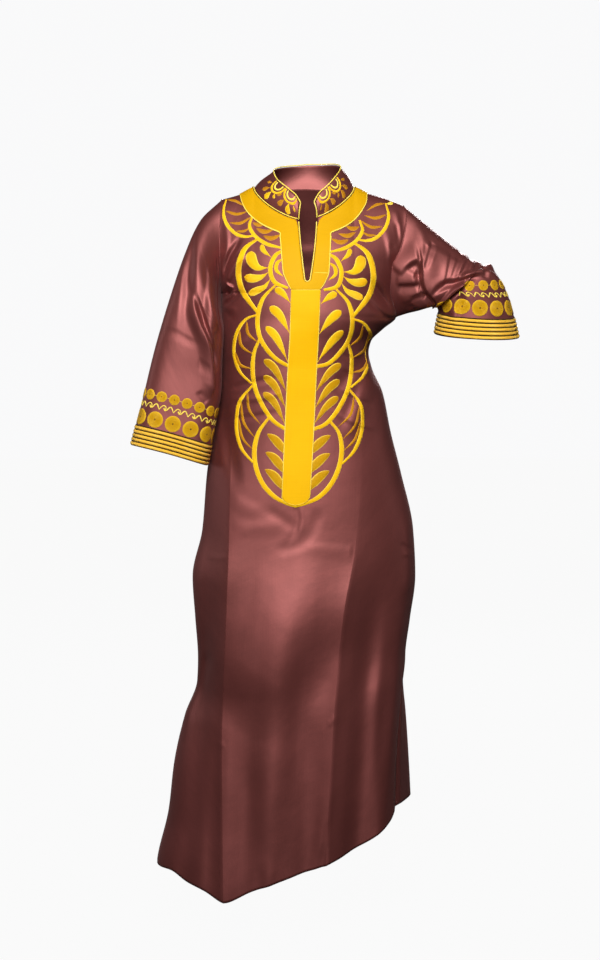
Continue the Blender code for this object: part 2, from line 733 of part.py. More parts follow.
def yoke_half(is_right):
    # Strips across the yoke at even steps along the neck edge and then down the slit edge
    turn = 1.0 if is_right else -1.0
    side = "right" if is_right else "left"
    neck = curves(YOKE_COLUMNS, YOKE_NECK)
    surround = curves(SURROUND_COLUMNS, YOKE_SLIT)
    start = math.acos(YOKE_NECK[-1][0] / NECK_HALF)
    grid = []
    for i in range(YOKE_NECK_STEPS):
        inner = NECK_HALF * math.cos(start * (i / (YOKE_NECK_STEPS - 1)) ** 1.5)
        outer = (neck["outer_" + side + "_x"](inner), neck["outer_" + side + "_z"](inner))
        grid.append(yoke_strip((turn * inner, neck_front(inner)), outer, YOKE_INSET))
    for i in range(YOKE_SLIT_STEPS):
        z = mix(YOKE_SLIT[0][0], YOKE_SLIT[-1][0], math.sin(i / (YOKE_SLIT_STEPS - 1) * math.pi / 2))
        x = guide["centre"](z) + turn * (slit_half(z) + SEAM_GAP)
        outer = (surround["outer_" + side + "_x"](z), surround["outer_" + side + "_z"](z))
        corner_inset = YOKE_INSET if i == 0 else 0.0
        grid.append(yoke_strip((x, z), outer, corner_inset))
    centre = guide["centre"](SLIT_BOTTOM)
    grid.append(yoke_strip((centre, SLIT_BOTTOM - SEAM_GAP), (0.003, YOKE_BOTTOM), 0.0))
    return grid


def yoke_strip(inner, outer, inset):
    start = Vector((inner[0], inner[1]))
    end = Vector((outer[0], outer[1]))
    start = start + (end - start).normalized() * inset
    points = []
    for i in range(YOKE_STRIPS + 1):
        place = start.lerp(end, i / YOKE_STRIPS)
        high = min(place.y, ridge_height(place.x) - SEAM_GAP)
        points.append(on_front(place.x, high, TRIM_LIFT + TRIM))
    return points


def build_band():
    rows = [mix(BAND_TOP, BAND_SQUARE, i / BAND_ROWS) for i in range(BAND_ROWS + 1)]
    rows += [mix(BAND_SQUARE, BAND_TIP, i / TIP_ROWS) for i in range(1, TIP_ROWS + 1)]
    grid = []
    for z in rows:
        left = band["left"](z)
        right = band["right"](z)
        below = max(0.0, (BAND_SQUARE - z) / (BAND_SQUARE - BAND_TIP))
        narrow = math.sqrt(max(0.04, 1.0 - below ** 2))
        middle = (left + right) / 2
        points = []
        for i in range(5):
            x = middle + (right - left) / 2 * narrow * (i / 2 - 1)
            points.append(on_front(x, z, TRIM_LIFT + TRIM))
        grid.append(points)
    add_piece("centre_band", grid_mesh("centre_band", [grid], False, forwards), yellow, TRIM)


def build_tube(name, points, radius, finish):
    # A cord through its points: a curve with a round bevel and filled caps, made a mesh
    path = bpy.data.curves.new(name, "CURVE")
    path.dimensions = "3D"
    path.bevel_depth = radius
    path.bevel_resolution = 0
    path.use_fill_caps = True
    spline = path.splines.new("POLY")
    spline.points.add(len(points) - 1)
    for target, point in zip(spline.points, points):
        target.co = (point.x, point.y, point.z, 1.0)
    piece = bpy.data.objects.new(name, path)
    parts.objects.link(piece)
    path.materials.append(finish)


def along_path(points, spacing):
    # Points at even steps along a smooth line through the given ones
    dense = []
    for i in range(len(points) - 1):
        before = points[max(i - 1, 0)]
        after = points[min(i + 2, len(points) - 1)]
        a = points[i]
        b = points[i + 1]
        for k in range(10):
            t = k / 10
            curve = 2 * a + (b - before) * t + (2 * before - 5 * a + 4 * b - after) * t * t
            curve = curve + (3 * a - before - 3 * b + after) * t ** 3
            dense.append(curve / 2)
    dense.append(points[-1])
    total = sum((q - p).length for p, q in zip(dense, dense[1:]))
    count = max(2, round(total / spacing))
    result = [dense[0]]
    walked = 0.0
    for p, q in zip(dense, dense[1:]):
        step = (q - p).length
        while len(result) < count and walked + step >= total * len(result) / count:
            result.append(p.lerp(q, (total * len(result) / count - walked) / step))
        walked = walked + step
    result.append(dense[-1])
    return result


def collar_piping_path(grid):
    # Up one front edge, round the top and down the other, just past the cloth's edge
    edge = list(grid[0][:-1])
    edge += [points[-1] for points in grid]
    edge += list(reversed(grid[-1][:-1]))
    path = []
    for i, point in enumerate(edge):
        before = (point - edge[i - 1]).normalized() if i > 0 else None
        after = (edge[i + 1] - point).normalized() if i < len(edge) - 1 else None
        before = before or after
        after = after or before
        heading = (before + after).normalized()
        level = Vector((point.x, point.y, 0.0)).normalized()
        out = heading.cross(level).normalized()
        reach = (PIPING + EDGE_LIFT) / max(0.6, heading.dot(after))
        path.append(point + out * reach - level * CLOTH / 2)
    return path


def neck_piping_path(grid):
    # On the front and back cloth, just outside the foot of the collar
    path = []
    for points in grid:
        foot = points[0]
        out = Vector((foot.x, foot.y, 0.0)).normalized() * (PIPING + 2 * SEAM_GAP)
        path.append(on_wall(foot + out, PIPING + PIPING_LIFT, foot.y < 0.0))
    return path


def slit_binding_path():
    # Just inside the slit's edge, from the top of one side to the top of the other
    reach = BINDING + 2 * SEAM_GAP
    heights = [mix(-0.078, SLIT_BOTTOM + SLIT_ROUND, i / 9) for i in range(10)]
    left = []
    right = []
    for z in heights:
        centre = guide["centre"](z)
        half = slit_half(z) - reach
        left.append((centre - half, z))
        right.append((centre + half, z))
    bottom = []
    square = SLIT_BOTTOM + SLIT_ROUND
    half = slit_half(square) - reach
    drop = SLIT_ROUND - reach - SEAM_GAP
    for i in range(1, 6):
        a = math.pi * i / 6
        bottom.append((guide["centre"](square) - half * math.cos(a), square - drop * math.sin(a)))
    flat = left + bottom + list(reversed(right))
    return [Vector((x, wall_y(x, z, True) + CLOTH / 2, z)) for x, z in flat]


for old in list(bpy.data.objects):
    bpy.data.objects.remove(old, do_unlink=True)

parts = bpy.data.collections.new("boubou")
bpy.context.scene.collection.children.link(parts)

satin = material("brown satin", CLOTH_COLOUR, 0.38)
yellow = material("yellow satin", YELLOW_COLOUR, 0.42)
cord = material("yellow cord", PIPING_COLOUR, 0.45)

front_grids = [front_half(False), front_half(True)]
back_grids = [back_half(False), back_half(True)]

front_data = grid_mesh("front", front_grids, False, forwards)
back_data = grid_mesh("back", back_grids, False, backwards)
front_tree = face_tree(front_data)
back_tree = face_tree(back_data)
add_piece("front", front_data, satin, CLOTH)
add_piece("back", back_data, satin, CLOTH)

sleeves = (
    ("right", SLEEVE_RIGHT, SLEEVE_RIGHT_FOLDS, 0, -SLEEVE_GAP),
    ("left", SLEEVE_LEFT, SLEEVE_LEFT_FOLDS, 1, SLEEVE_GAP),
)
for side_name, rings, folds, half_index, gap in sleeves:
    armhole = armhole_ring(front_grids[half_index][0], back_grids[half_index][0], gap)
    table = sleeve_table(rings)
    build_sleeve("sleeve_" + side_name, table, folds, armhole)
    build_cuff_band("cuff_band_" + side_name, table, folds, armhole)

collar_points = collar_grid()
collar_data = grid_mesh("collar", [collar_points], False, lambda centre: Vector((centre.x, centre.y, 0.0)))
add_piece("collar", collar_data, satin, CLOTH)

yoke_data = grid_mesh("yoke", [yoke_half(False), yoke_half(True)], False, forwards)
add_piece("yoke", yoke_data, yellow, TRIM)
build_band()

build_tube("collar_piping", along_path(collar_piping_path(collar_points), 0.005), PIPING, cord)
build_tube("neck_piping", along_path(neck_piping_path(collar_points), 0.007), PIPING, cord)
build_tube("slit_binding", along_path(slit_binding_path(), 0.006), BINDING, cord)
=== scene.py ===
import json
import math

import bpy
import bmesh
import numpy as np
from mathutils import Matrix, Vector

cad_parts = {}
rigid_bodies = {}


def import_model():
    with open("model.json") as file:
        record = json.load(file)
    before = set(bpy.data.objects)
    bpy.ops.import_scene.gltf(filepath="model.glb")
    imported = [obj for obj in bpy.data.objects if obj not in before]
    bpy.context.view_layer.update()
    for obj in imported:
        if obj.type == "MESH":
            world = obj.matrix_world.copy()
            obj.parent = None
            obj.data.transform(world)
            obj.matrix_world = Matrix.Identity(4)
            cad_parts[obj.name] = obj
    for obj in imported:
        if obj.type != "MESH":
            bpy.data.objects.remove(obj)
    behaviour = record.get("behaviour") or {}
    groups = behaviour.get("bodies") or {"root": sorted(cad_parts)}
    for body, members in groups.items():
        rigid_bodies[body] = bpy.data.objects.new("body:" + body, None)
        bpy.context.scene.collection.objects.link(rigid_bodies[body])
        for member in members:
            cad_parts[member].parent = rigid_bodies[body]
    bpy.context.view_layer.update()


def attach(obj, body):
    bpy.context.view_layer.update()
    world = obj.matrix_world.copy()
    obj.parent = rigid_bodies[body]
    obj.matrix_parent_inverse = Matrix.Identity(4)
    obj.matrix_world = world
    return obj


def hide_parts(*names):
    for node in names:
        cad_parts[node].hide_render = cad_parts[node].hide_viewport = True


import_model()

mm = 0.001  # the tables of folds and motifs are in millimetres


# Curves and small sums that every piece uses
def tableCurve(rows, column):
    rows = np.array(sorted(rows), float)
    xs = rows[:, 0]
    ys = rows[:, column]
    slopes = np.diff(ys) / np.diff(xs)
    before, after = slopes[:-1], slopes[1:]
    sameWay = before * after > 0
    inner = np.where(sameWay, 2 * before * after / np.where(sameWay, before + after, 1), 0)
    tangents = np.concatenate(([slopes[0]], inner, [slopes[-1]]))

    def value(x):
        x = np.clip(x, xs[0], xs[-1])
        i = np.clip(np.searchsorted(xs, x, side="right") - 1, 0, len(xs) - 2)
        span = xs[i + 1] - xs[i]
        t = (x - xs[i]) / span
        start = (1 + 2 * t) * (1 - t) ** 2 * ys[i] + t * (1 - t) ** 2 * span * tangents[i]
        return start + t * t * (3 - 2 * t) * ys[i + 1] - t * t * (1 - t) * span * tangents[i + 1]

    return value


def curves(names, rows):
    return {name: tableCurve(rows, i + 1) for i, name in enumerate(names.split())}


def smooth(t):
    t = np.clip(t, 0.0, 1.0)
    return t * t * (3 - 2 * t)


def mix(a, b, t):
    return a + (b - a) * t


def unit(v):
    return v / np.maximum(np.linalg.norm(v, axis=-1, keepdims=True), 1e-12)


def distances(points):
    # Way along a line of points, from its start to each of them
    return np.concatenate([[0], np.cumsum(np.linalg.norm(np.diff(points, axis=0), axis=-1))])


def smoothPath(points, spacing):
    # Even steps along a smooth line through a few points of any dimension
    points = np.array(points, float)
    padded = np.concatenate([[2 * points[0] - points[1]], points, [2 * points[-1] - points[-2]]])
    dense = []
    for i in range(len(points) - 1):
        p, a, b, q = padded[i:i + 4]
        t = np.linspace(0, 1, 24, endpoint=False)[:, None]
        dense.append((2 * a + (b - p) * t + (2 * p - 5 * a + 4 * b - q) * t ** 2
                      + (3 * a - p - 3 * b + q) * t ** 3) / 2)
    dense = np.concatenate(dense + [points[-1:]])
    walked = distances(dense)
    count = max(4, int(round(walked[-1] / spacing)))
    target = np.linspace(0, walked[-1], count + 1)
    return np.stack([np.interp(target, walked, dense[:, k]) for k in range(dense.shape[1])], -1), target


def foldLines(table, scale, spacing):
    # Folds along curved lines: points, rise, width of the left and right slope, fade at the start and the end
    lines = []
    for points, rise, leftWidth, rightWidth, startFade, endFade in table:
        path, target = smoothPath(np.array(points) * scale, spacing)
        sizes = rise * mm, leftWidth * mm, rightWidth * mm
        lines.append((path, target / target[-1], *sizes, startFade, endFade))
    return lines


def linesRise(lines, x, y, lap=None):
    # How far the cloth stands out at each place because of the folds; lap is the way round, if y goes round
    x, y = np.broadcast_arrays(x, y)
    total = np.zeros(x.shape)
    for path, share, rise, leftWidth, rightWidth, startFade, endFade in lines:
        reach = max(leftWidth, rightWidth)
        low, high = path.min(0) - reach, path.max(0) + reach
        across = y
        if lap:
            middle = (low[1] + high[1]) / 2
            across = (y - middle + lap / 2) % lap - lap / 2 + middle
        near = (x > low[0]) & (x < high[0]) & (across > low[1]) & (across < high[1])
        if not near.any():
            continue
        step = np.diff(path, axis=0)
        offX = x[near][:, None] - path[:-1, 0]
        offY = across[near][:, None] - path[:-1, 1]
        t = np.clip((offX * step[:, 0] + offY * step[:, 1]) / np.sum(step ** 2, 1), 0, 1)
        away = np.hypot(offX - t * step[:, 0], offY - t * step[:, 1])
        i = np.argmin(away, 1)
        rows = np.arange(len(i))
        along = mix(share[i], share[i + 1], t[rows, i])
        isLeft = step[i, 0] * offY[rows, i] > step[i, 1] * offX[rows, i]
        near01 = np.clip(away[rows, i] / np.where(isLeft, leftWidth, rightWidth), 0, 1)
        fade = smooth(along / max(startFade, 1e-6)) * smooth((1 - along) / max(endFade, 1e-6))
        total[near] += rise * fade * np.cos(near01 * np.pi / 2) ** 2
    return total


# Body of the dress: its outline, depth and hem, the same as in the solid
bodyCut = {
    "columns": "left right front back tuck seam",
    "outline": (
        (0.0, -0.161, 0.195, 0.066, 0.066, 0.0, 0.0),
        (-0.042, -0.161, 0.195, 0.07, 0.075, 0.0, 0.0),
        (-0.06, -0.162, 0.2, 0.073, 0.08, 0.0, 0.0),
        (-0.09, -0.163, 0.196, 0.084, 0.088, 0.0, 0.0),
        (-0.13, -0.163, 0.186, 0.102, 0.096, 0.0, 0.0),
        (-0.162, -0.163, 0.171, 0.112, 0.101, 0.0, 0.0),
        (-0.208, -0.163, 0.168, 0.121, 0.104, 0.0, 0.0),
        (-0.26, -0.164, 0.182, 0.1245, 0.103, 0.0, 0.0),
        (-0.283, -0.165, 0.157, 0.1245, 0.101, 0.0, 0.0),
        (-0.307, -0.1655, 0.133, 0.1235, 0.097, 0.0, 0.0),
        (-0.329, -0.1655, 0.128, 0.122, 0.094, 0.0, 0.0),
        (-0.361, -0.166, 0.135, 0.12, 0.092, 0.0, 0.0),
        (-0.408, -0.1695, 0.156, 0.12, 0.096, 0.0, 0.0),
        (-0.488, -0.181, 0.173, 0.124, 0.108, 0.0, 0.0),
        (-0.57, -0.194, 0.194, 0.131, 0.118, 0.0, 0.0),
        (-0.683, -0.204, 0.219, 0.138, 0.124, 0.0, 0.0),
        (-0.778, -0.224, 0.224, 0.143, 0.128, 0.0, 0.0),
        (-0.86, -0.219, 0.214, 0.147, 0.131, 0.0, 0.0),
        (-0.94, -0.214, 0.205, 0.151, 0.134, 0.0, 0.0),
        (-0.99, -0.216, 0.2095, 0.153, 0.136, 0.011, 0.02),
        (-1.06, -0.241, 0.219, 0.157, 0.138, 0.029, 0.042),
        (-1.16, -0.264, 0.228, 0.163, 0.142, 0.044, 0.056),
        (-1.258, -0.276, 0.2345, 0.169, 0.147, 0.0515, 0.06),
        (-1.361, -0.3, 0.2395, 0.175, 0.152, 0.0525, 0.06),
        (-1.42, -0.306, 0.2425, 0.178, 0.155, 0.0525, 0.06),
    ),
    "shoulder": (
        (-0.161, -0.03), (-0.126, -0.02), (-0.0965, -0.006), (0.0965, -0.006),
        (0.123, -0.017), (0.162, -0.029), (0.195, -0.042),
    ),
    "underarmLeft": -0.2124,
    "underarmRight": -0.2597,
    "slitBottom": -0.1945,
    "slitRound": 0.0075,
    "slit": ((-0.187, 0.007), (-0.162, 0.0105), (-0.114, 0.016), (-0.06, 0.02)),
    "hem": (
        (-0.301, -1.361, -1.361), (-0.264, -1.352, -1.36), (-0.231, -1.367, -1.358),
        (-0.205, -1.372, -1.354), (-0.158, -1.392, -1.346), (-0.095, -1.366, -1.335),
        (-0.02, -1.339, -1.32), (0.06, -1.311, -1.297), (0.09, -1.2985, -1.285),
        (0.129, -1.279, -1.272), (0.157, -1.262, -1.261), (0.172, -1.251, -1.256),
        (0.186, -1.234, -1.252), (0.222, -1.234, -1.24),
    ),
    "sideHem": (-1.361, -1.234),
    "lines": (
        (0.0, -0.0965, 0.0965, 0.0065, -0.0965, 0.0965),
        (-0.115, -0.108, 0.101, 0.007, -0.1, 0.098),
        (-0.195, -0.118, 0.107, 0.006, -0.103, 0.1),
        (-0.4, -0.135, 0.113, -0.004, -0.107, 0.1),
        (-0.573, -0.143, 0.11, -0.013, -0.112, 0.105),
        (-0.709, -0.146, 0.098, -0.016, -0.12, 0.107),
        (-0.82, -0.15, 0.077, -0.0165, -0.126, 0.107),
        (-0.942, -0.155, 0.064, -0.017, -0.132, 0.107),
        (-1.08, -0.16, 0.054, -0.0175, -0.138, 0.107),
        (-1.23, -0.159, 0.046, -0.018, -0.144, 0.106),
        (-1.4, -0.157, 0.04, -0.019, -0.15, 0.105),
    ),
    "creases": (
        (-0.48, 0.0, 0.0), (-0.54, 0.0045, 0.001), (-0.64, 0.008, 0.004),
        (-0.9, 0.0105, 0.007), (-1.4, 0.012, 0.009),
    ),
    "creaseWidth": 0.055,
    # the crease on the garment's left is pressed flat high up: its share there, and where it grows to full
    "hipShare": 0.15,
    "hipLow": -0.66,
    "hipReach": 0.16,
    "neckHalf": 0.0965,
    "neckLine": -0.006,
    "neckDrop": 0.0685,
    "neckRound": 1.5,
    "neckRise": 0.04,
    "backNeckDrop": 0.041,
    "frontShoulder": 0.17,
    "backShoulder": 0.13,
    "armholeDepth": 0.06,
    "sectionPower": 2.2,
    "tuckReach": 0.2,
    "seamGap": 0.0003,
    "cloth": 0.0012,
    "sideColumns": 27,
    "frontColumns": 40,
    "backColumns": 24,
    "upperRows": 70,
    "lowerRows": 250,
    "rowCrowding": 1.2,
}

# Folds: start x, start z, end x, end z, how far it stands out, half its width, and 1 if it runs out at the hem
frontFolds = (
    (-188, -760, -232, -1400, -11, 34, 1),
    (-30, -760, -88, -1400, 7, 50, 1),
    (135, -780, 98, -1320, -10, 34, 1),
    (196, -800, 152, -1300, 9, 30, 1),
    (-164, -236, -98, -150, -7, 16, 0),
    (186, -262, 118, -180, -8, 18, 0),
    (138, -322, 50, -405, -6, 20, 0),
    (142, -350, 80, -500, 6, 24, 0),
    (-166, -400, -130, -600, -6, 22, 0),
)
backFolds = (
    (-210, -800, -246, -1400, -11, 36, 1),
    (-70, -620, -82, -1400, -9, 34, 1),
    (0, -560, -4, -1400, 10, 40, 1),
    (58, -660, 60, -1400, -9, 32, 1),
    (165, -760, 160, -1400, 9, 34, 1),
    (-160, -240, -85, -160, -6, 18, 0),
    (184, -262, 95, -170, -7, 18, 0),
    (128, -330, 30, -430, -6, 22, 0),
)
# Finer creases and crumples that only the cloth shows: points, how far it stands out,
# the width of its left and right slope seen along it, and the share of it that fades at each end
frontLines = foldLines((
    # right underarm: crushed cloth that rays out from the seam
    (((-118, -104), (-145.4, -146.6), (-159.9, -184.5)), -8, 7, 10, 0.3, 0.2),
    (((-112, -133), (-139, -166), (-156, -199)), 7, 12, 8, 0.3, 0.2),
    (((-162, -185), (-150, -198), (-133.8, -206.3)), 8, 6, 9, 0.1, 0.3),
    (((-164, -202), (-152, -211), (-140, -216)), -9, 6, 7, 0.1, 0.2),
    (((-133.8, -206.3), (-142.3, -219.4), (-164.4, -230.1)), 7, 8, 6, 0.2, 0.1),
    (((-164, -238), (-143, -229), (-123.6, -208.5), (-110, -182)), -6, 10, 8, 0.1, 0.4),
    (((-164, -242), (-143, -244), (-123.7, -250.7)), 3, 10, 8, 0.1, 0.5),
    (((-164, -244), (-145, -258), (-129.7, -269.9)), -2.6, 9, 9, 0.1, 0.5),
    (((-161, -60), (-150, -110), (-158, -170)), 3.5, 10, 14, 0.2, 0.3),
    (((-160, -350), (-130, -318), (-104, -292)), 2.5, 10, 12, 0.3, 0.3),
    # left underarm and the drag lines to it
    (((178, -48), (188, -95), (195, -113)), 4.6, 7, 10, 0.2, 0.2),
    (((180, -76), (186, -123)), -4, 6, 8, 0.2, 0.3),
    (((194, -50), (196, -80), (193, -108)), -4.6, 6, 8, 0.2, 0.3),
    (((169, -118), (174, -130), (182, -140)), -4.6, 6, 8, 0.2, 0.2),
    (((189, -128), (178, -148), (172, -168)), -3.6, 8, 8, 0.2, 0.3),
    (((150, -70), (165, -120), (172, -190), (176, -250)), 4, 16, 10, 0.3, 0.2),
    (((178, -240), (150, -205), (130, -160)), 4.6, 8, 12, 0.1, 0.4),
    (((176, -268), (145, -250), (112, -214)), -4.6, 10, 7, 0.1, 0.4),
    (((150, -302), (120, -285), (94, -256)), 3.8, 10, 10, 0.2, 0.4),
    (((130, -338), (100, -342), (60, -326)), -2.8, 9, 7, 0.2, 0.4),
    (((132, -366), (100, -368), (66, -350)), 3.2, 8, 12, 0.2, 0.4),
    # waist
    (((-150, -398), (-100, -386), (-40, -372)), -2.6, 8, 10, 0.2, 0.4),
    (((-150, -420), (-90, -416), (-30, -402)), 2.4, 9, 9, 0.2, 0.4),
    (((-158, -456), (-100, -452), (-40, -440)), -2.2, 8, 10, 0.2, 0.4),
    (((140, -432), (90, -416), (36, -385)), -2.6, 10, 8, 0.2, 0.4),
    (((150, -478), (90, -458), (40, -430)), 2.4, 10, 10, 0.2, 0.4),
    # below the band's tip: pressed marks in a shallow V
    (((-144, -604), (-124, -617), (-100.5, -628.6), (-77.3, -634.1)), 1, 18, 26, 0.3, 0.3),
    (((-81.1, -624.4), (-54.1, -641.1), (-31, -656.1), (-15.7, -671.8)), -1.1, 18, 14, 0.3, 0.2),
    (((-141.7, -667.4), (-104.5, -663.8), (-69.6, -660.6), (-36.8, -663.9)), 0.9, 20, 24, 0.3, 0.3),
    (((-13.8, -620), (-11.8, -648.4), (-19.5, -677.3), (-34.9, -700.1)), -1.4, 8, 12, 0.1, 0.3),
    (((-8, -624), (-4, -650), (-11, -680)), 1, 8, 6, 0.1, 0.3),
    (((-58, -712), (-31, -703.8), (-8, -696), (11.2, -678.9), (24.6, -648.3), (28.5, -621.5)),
     -1.4, 20, 16, 0.2, 0.2),
    (((-8, -703.6), (30.4, -701.9), (68.9, -706.2), (95.9, -708.4)), 0.9, 14, 26, 0.3, 0.1),
    (((-190.7, -725.3), (-167.8, -725.7), (-147.6, -721.4)), 1, 6, 8, 0.1, 0.1),
    # long soft folds of the skirt
    (((-143, -500), (-145, -700), (-150, -840), (-154, -960), (-159, -1150)), 12, 120, 50, 0.3, 0.5),
    (((90, -690), (30, -770), (-38, -860), (-96, -950), (-150, -1050)), 20, 130, 130, 0.5, 0.3),
    (((100, -830), (56, -930), (0, -1030)), -5, 60, 80, 0.4, 0.4),
    (((-73.5, -980), (-54.3, -1168.6), (-39, -1287.8), (-33, -1390)), 4, 60, 60, 0.4, 0),
    (((-112.6, -1080), (-106.8, -1230), (-100.9, -1355.2), (-99, -1420)), -3, 44, 40, 0.3, 0),
    (((1.6, -960), (7.5, -1170.7), (3.6, -1307.3), (1, -1390)), -3, 40, 44, 0.4, 0),
    (((46.1, -1150), (34.5, -1247.8), (19.1, -1318.4), (12, -1370)), 1.8, 18, 20, 0.4, 0),
    (((50, -1200), (42.2, -1276.1), (34.6, -1313.8), (30, -1370)), -1.6, 14, 14, 0.4, 0),
    (((196.5, -790), (180.2, -890.2), (156.1, -966), (132.6, -1043.4), (120.9, -1121.6)), 3, 50, 60, 0.2, 0.4),
    (((157.2, -730), (143.6, -826.9), (120.5, -924.8), (92.8, -1018.5), (79.1, -1152.7)),
     -4.4, 46, 44, 0.2, 0.4),
    (((184.9, -900), (168.2, -1006.5), (164.6, -1105.2), (169.4, -1207.8), (173, -1300)), -5, 26, 30, 0.3, 0),
    (((205.3, -630), (211.5, -708.6), (207, -766.4), (192.4, -832.9)), 5, 16, 26, 0.3, 0.3),
    (((187.6, -700.2), (204.7, -712.7), (229, -725.2)), -3.6, 5, 6, 0.2, 0.1),
    (((191.7, -722), (209.2, -725.6), (229.1, -739.4)), 3, 5, 6, 0.2, 0.1),
    (((-171.6, -1000), (-175.4, -1195.9), (-175.3, -1330.9), (-175, -1420)), -5, 30, 30, 0.3, 0),
    (((-214.2, -1020), (-221.3, -1170.2), (-220.6, -1304.2), (-220, -1420)), 6, 34, 36, 0.3, 0),
    (((-185, -910), (-216, -1012.2), (-240, -1070)), -6, 18, 14, 0.2, 0.2),
    (((-175.6, -1090.5), (-161.4, -1083.8), (-151.6, -1092.7)), 0.9, 5, 8, 0.3, 0.3),
    (((42, -1042), (53.7, -1039.7), (60, -1023)), 0.9, 8, 5, 0.3, 0.3),
    (((-64, -1290), (-70, -1400)), 1.6, 16, 18, 0.5, 0),
    (((-82, -1310), (-90, -1400)), -1.4, 14, 16, 0.5, 0),
), mm, 0.012)
backLines = foldLines((
    # across the upper back
    (((-100, -100), (-30, -125), (40, -125), (110, -100)), -2, 20, 30, 0.4, 0.4),
    (((-125, -80), (-105, -140), (-95, -210)), 3, 22, 30, 0.3, 0.5),
    (((135, -80), (115, -140), (105, -190)), 2.8, 26, 22, 0.3, 0.5),
    # drag lines to the underarms
    (((178, -235), (150, -200), (120, -150), (95, -100)), 5, 9, 16, 0.1, 0.4),
    (((176, -262), (140, -240), (100, -195), (70, -150)), -4.6, 14, 9, 0.1, 0.4),
    (((158, -295), (120, -285), (80, -255)), 3.6, 10, 14, 0.1, 0.4),
    (((140, -330), (100, -335), (55, -320)), -2.8, 12, 9, 0.1, 0.4),
    (((132, -362), (90, -366), (40, -352)), 3, 10, 14, 0.1, 0.4),
    (((-164, -215), (-140, -190), (-115, -150)), 5, 14, 8, 0.1, 0.4),
    (((-164, -245), (-135, -225), (-100, -185)), -4.4, 9, 13, 0.1, 0.4),
    (((-160, -280), (-125, -265), (-90, -235)), 3, 12, 10, 0.1, 0.4),
    # waist
    (((-140, -395), (-80, -412), (0, -418), (70, -405)), -2.8, 12, 16, 0.3, 0.4),
    (((-130, -425), (-60, -442), (30, -442), (100, -425)), 2.8, 12, 16, 0.3, 0.3),
    (((-120, -460), (-40, -472), (50, -465)), -2.2, 14, 12, 0.3, 0.4),
    (((-150, -330), (-115, -348), (-70, -350)), -2.4, 10, 12, 0.2, 0.4),
    # long soft folds of the skirt
    (((-110, -700), (-40, -820), (40, -950), (120, -1080)), 12, 100, 100, 0.4, 0.3),
    (((-60, -920), (0, -1030), (60, -1140)), -4, 60, 60, 0.4, 0.4),
    (((-170, -620), (-165, -800), (-155, -950)), 5, 40, 30, 0.3, 0.4),
    (((160, -600), (135, -750), (110, -900)), 5, 36, 40, 0.3, 0.4),
    (((-110, -1050), (-125, -1220), (-135, -1420)), 5, 40, 34, 0.4, 0),
    (((60, -1020), (75, -1200), (80, -1360)), -4.6, 44, 38, 0.4, 0),
    (((-20, -1100), (-30, -1260), (-35, -1390)), -3.4, 34, 36, 0.4, 0),
    (((130, -1050), (125, -1200), (120, -1340)), 4, 36, 30, 0.4, 0),
    (((-175, -1120), (-190, -1280), (-200, -1420)), -4, 28, 28, 0.4, 0),
), mm, 0.012)

body = curves(bodyCut["columns"], bodyCut["outline"])
shoulderLine = tableCurve(bodyCut["shoulder"], 1)
hemFront = tableCurve(bodyCut["hem"], 1)
hemBack = tableCurve(bodyCut["hem"], 2)
line = curves("leftCrease rightCrease centre backLeft backRight", bodyCut["lines"])
slitTable = tableCurve(bodyCut["slit"], 1)
creaseAmount = curves("front back", bodyCut["creases"])
chestRow = tableCurve((
    (-0.163, bodyCut["underarmLeft"]), (-0.1, -0.205), (0.006, bodyCut["slitBottom"]),
    (0.1, -0.215), (0.182, bodyCut["underarmRight"]),
), 1)


def ridgeHeight(x):
    return shoulderLine(x) + np.maximum(0, 1 - (x / bodyCut["neckHalf"]) ** 2) * bodyCut["neckRise"]


def edgeDepth(z, underarm):
    middle = underarm / 2
    t = np.clip((middle - z) / (middle - underarm), 0, 1)
    return np.where(z <= underarm, 0, bodyCut["armholeDepth"] * np.sqrt(1 - t * t))


def foldSum(folds, x, z):
    total = np.zeros(np.broadcast(x, z).shape)
    for *inMillimetres, runsOut in folds:
        startX, startZ, endX, endZ, rise, width = (value * mm for value in inMillimetres)
        dx, dz = endX - startX, endZ - startZ
        length = math.hypot(dx, dz)
        along = ((x - startX) * dx + (z - startZ) * dz) / length ** 2
        across = ((x - startX) * dz - (z - startZ) * dx) / length / width
        fade = smooth(along / 0.35)
        if not runsOut:
            fade = fade * smooth((1 - along) / 0.35)
        total += rise * fade * np.cos(np.clip(across, -1, 1) * np.pi / 2) ** 2
    return total


def creaseRise(x, z, names, amount):
    total = 0
    for name in names:
        t = np.clip(np.abs(x - line[name](z)) / bodyCut["creaseWidth"], 0, 1)
        overHip = smooth((bodyCut["hipLow"] - z) / bodyCut["hipReach"]) if name == "rightCrease" else 1.0
        total = total + amount(z) * mix(bodyCut["hipShare"], 1.0, overHip) * (1 - t) ** 2
    return total


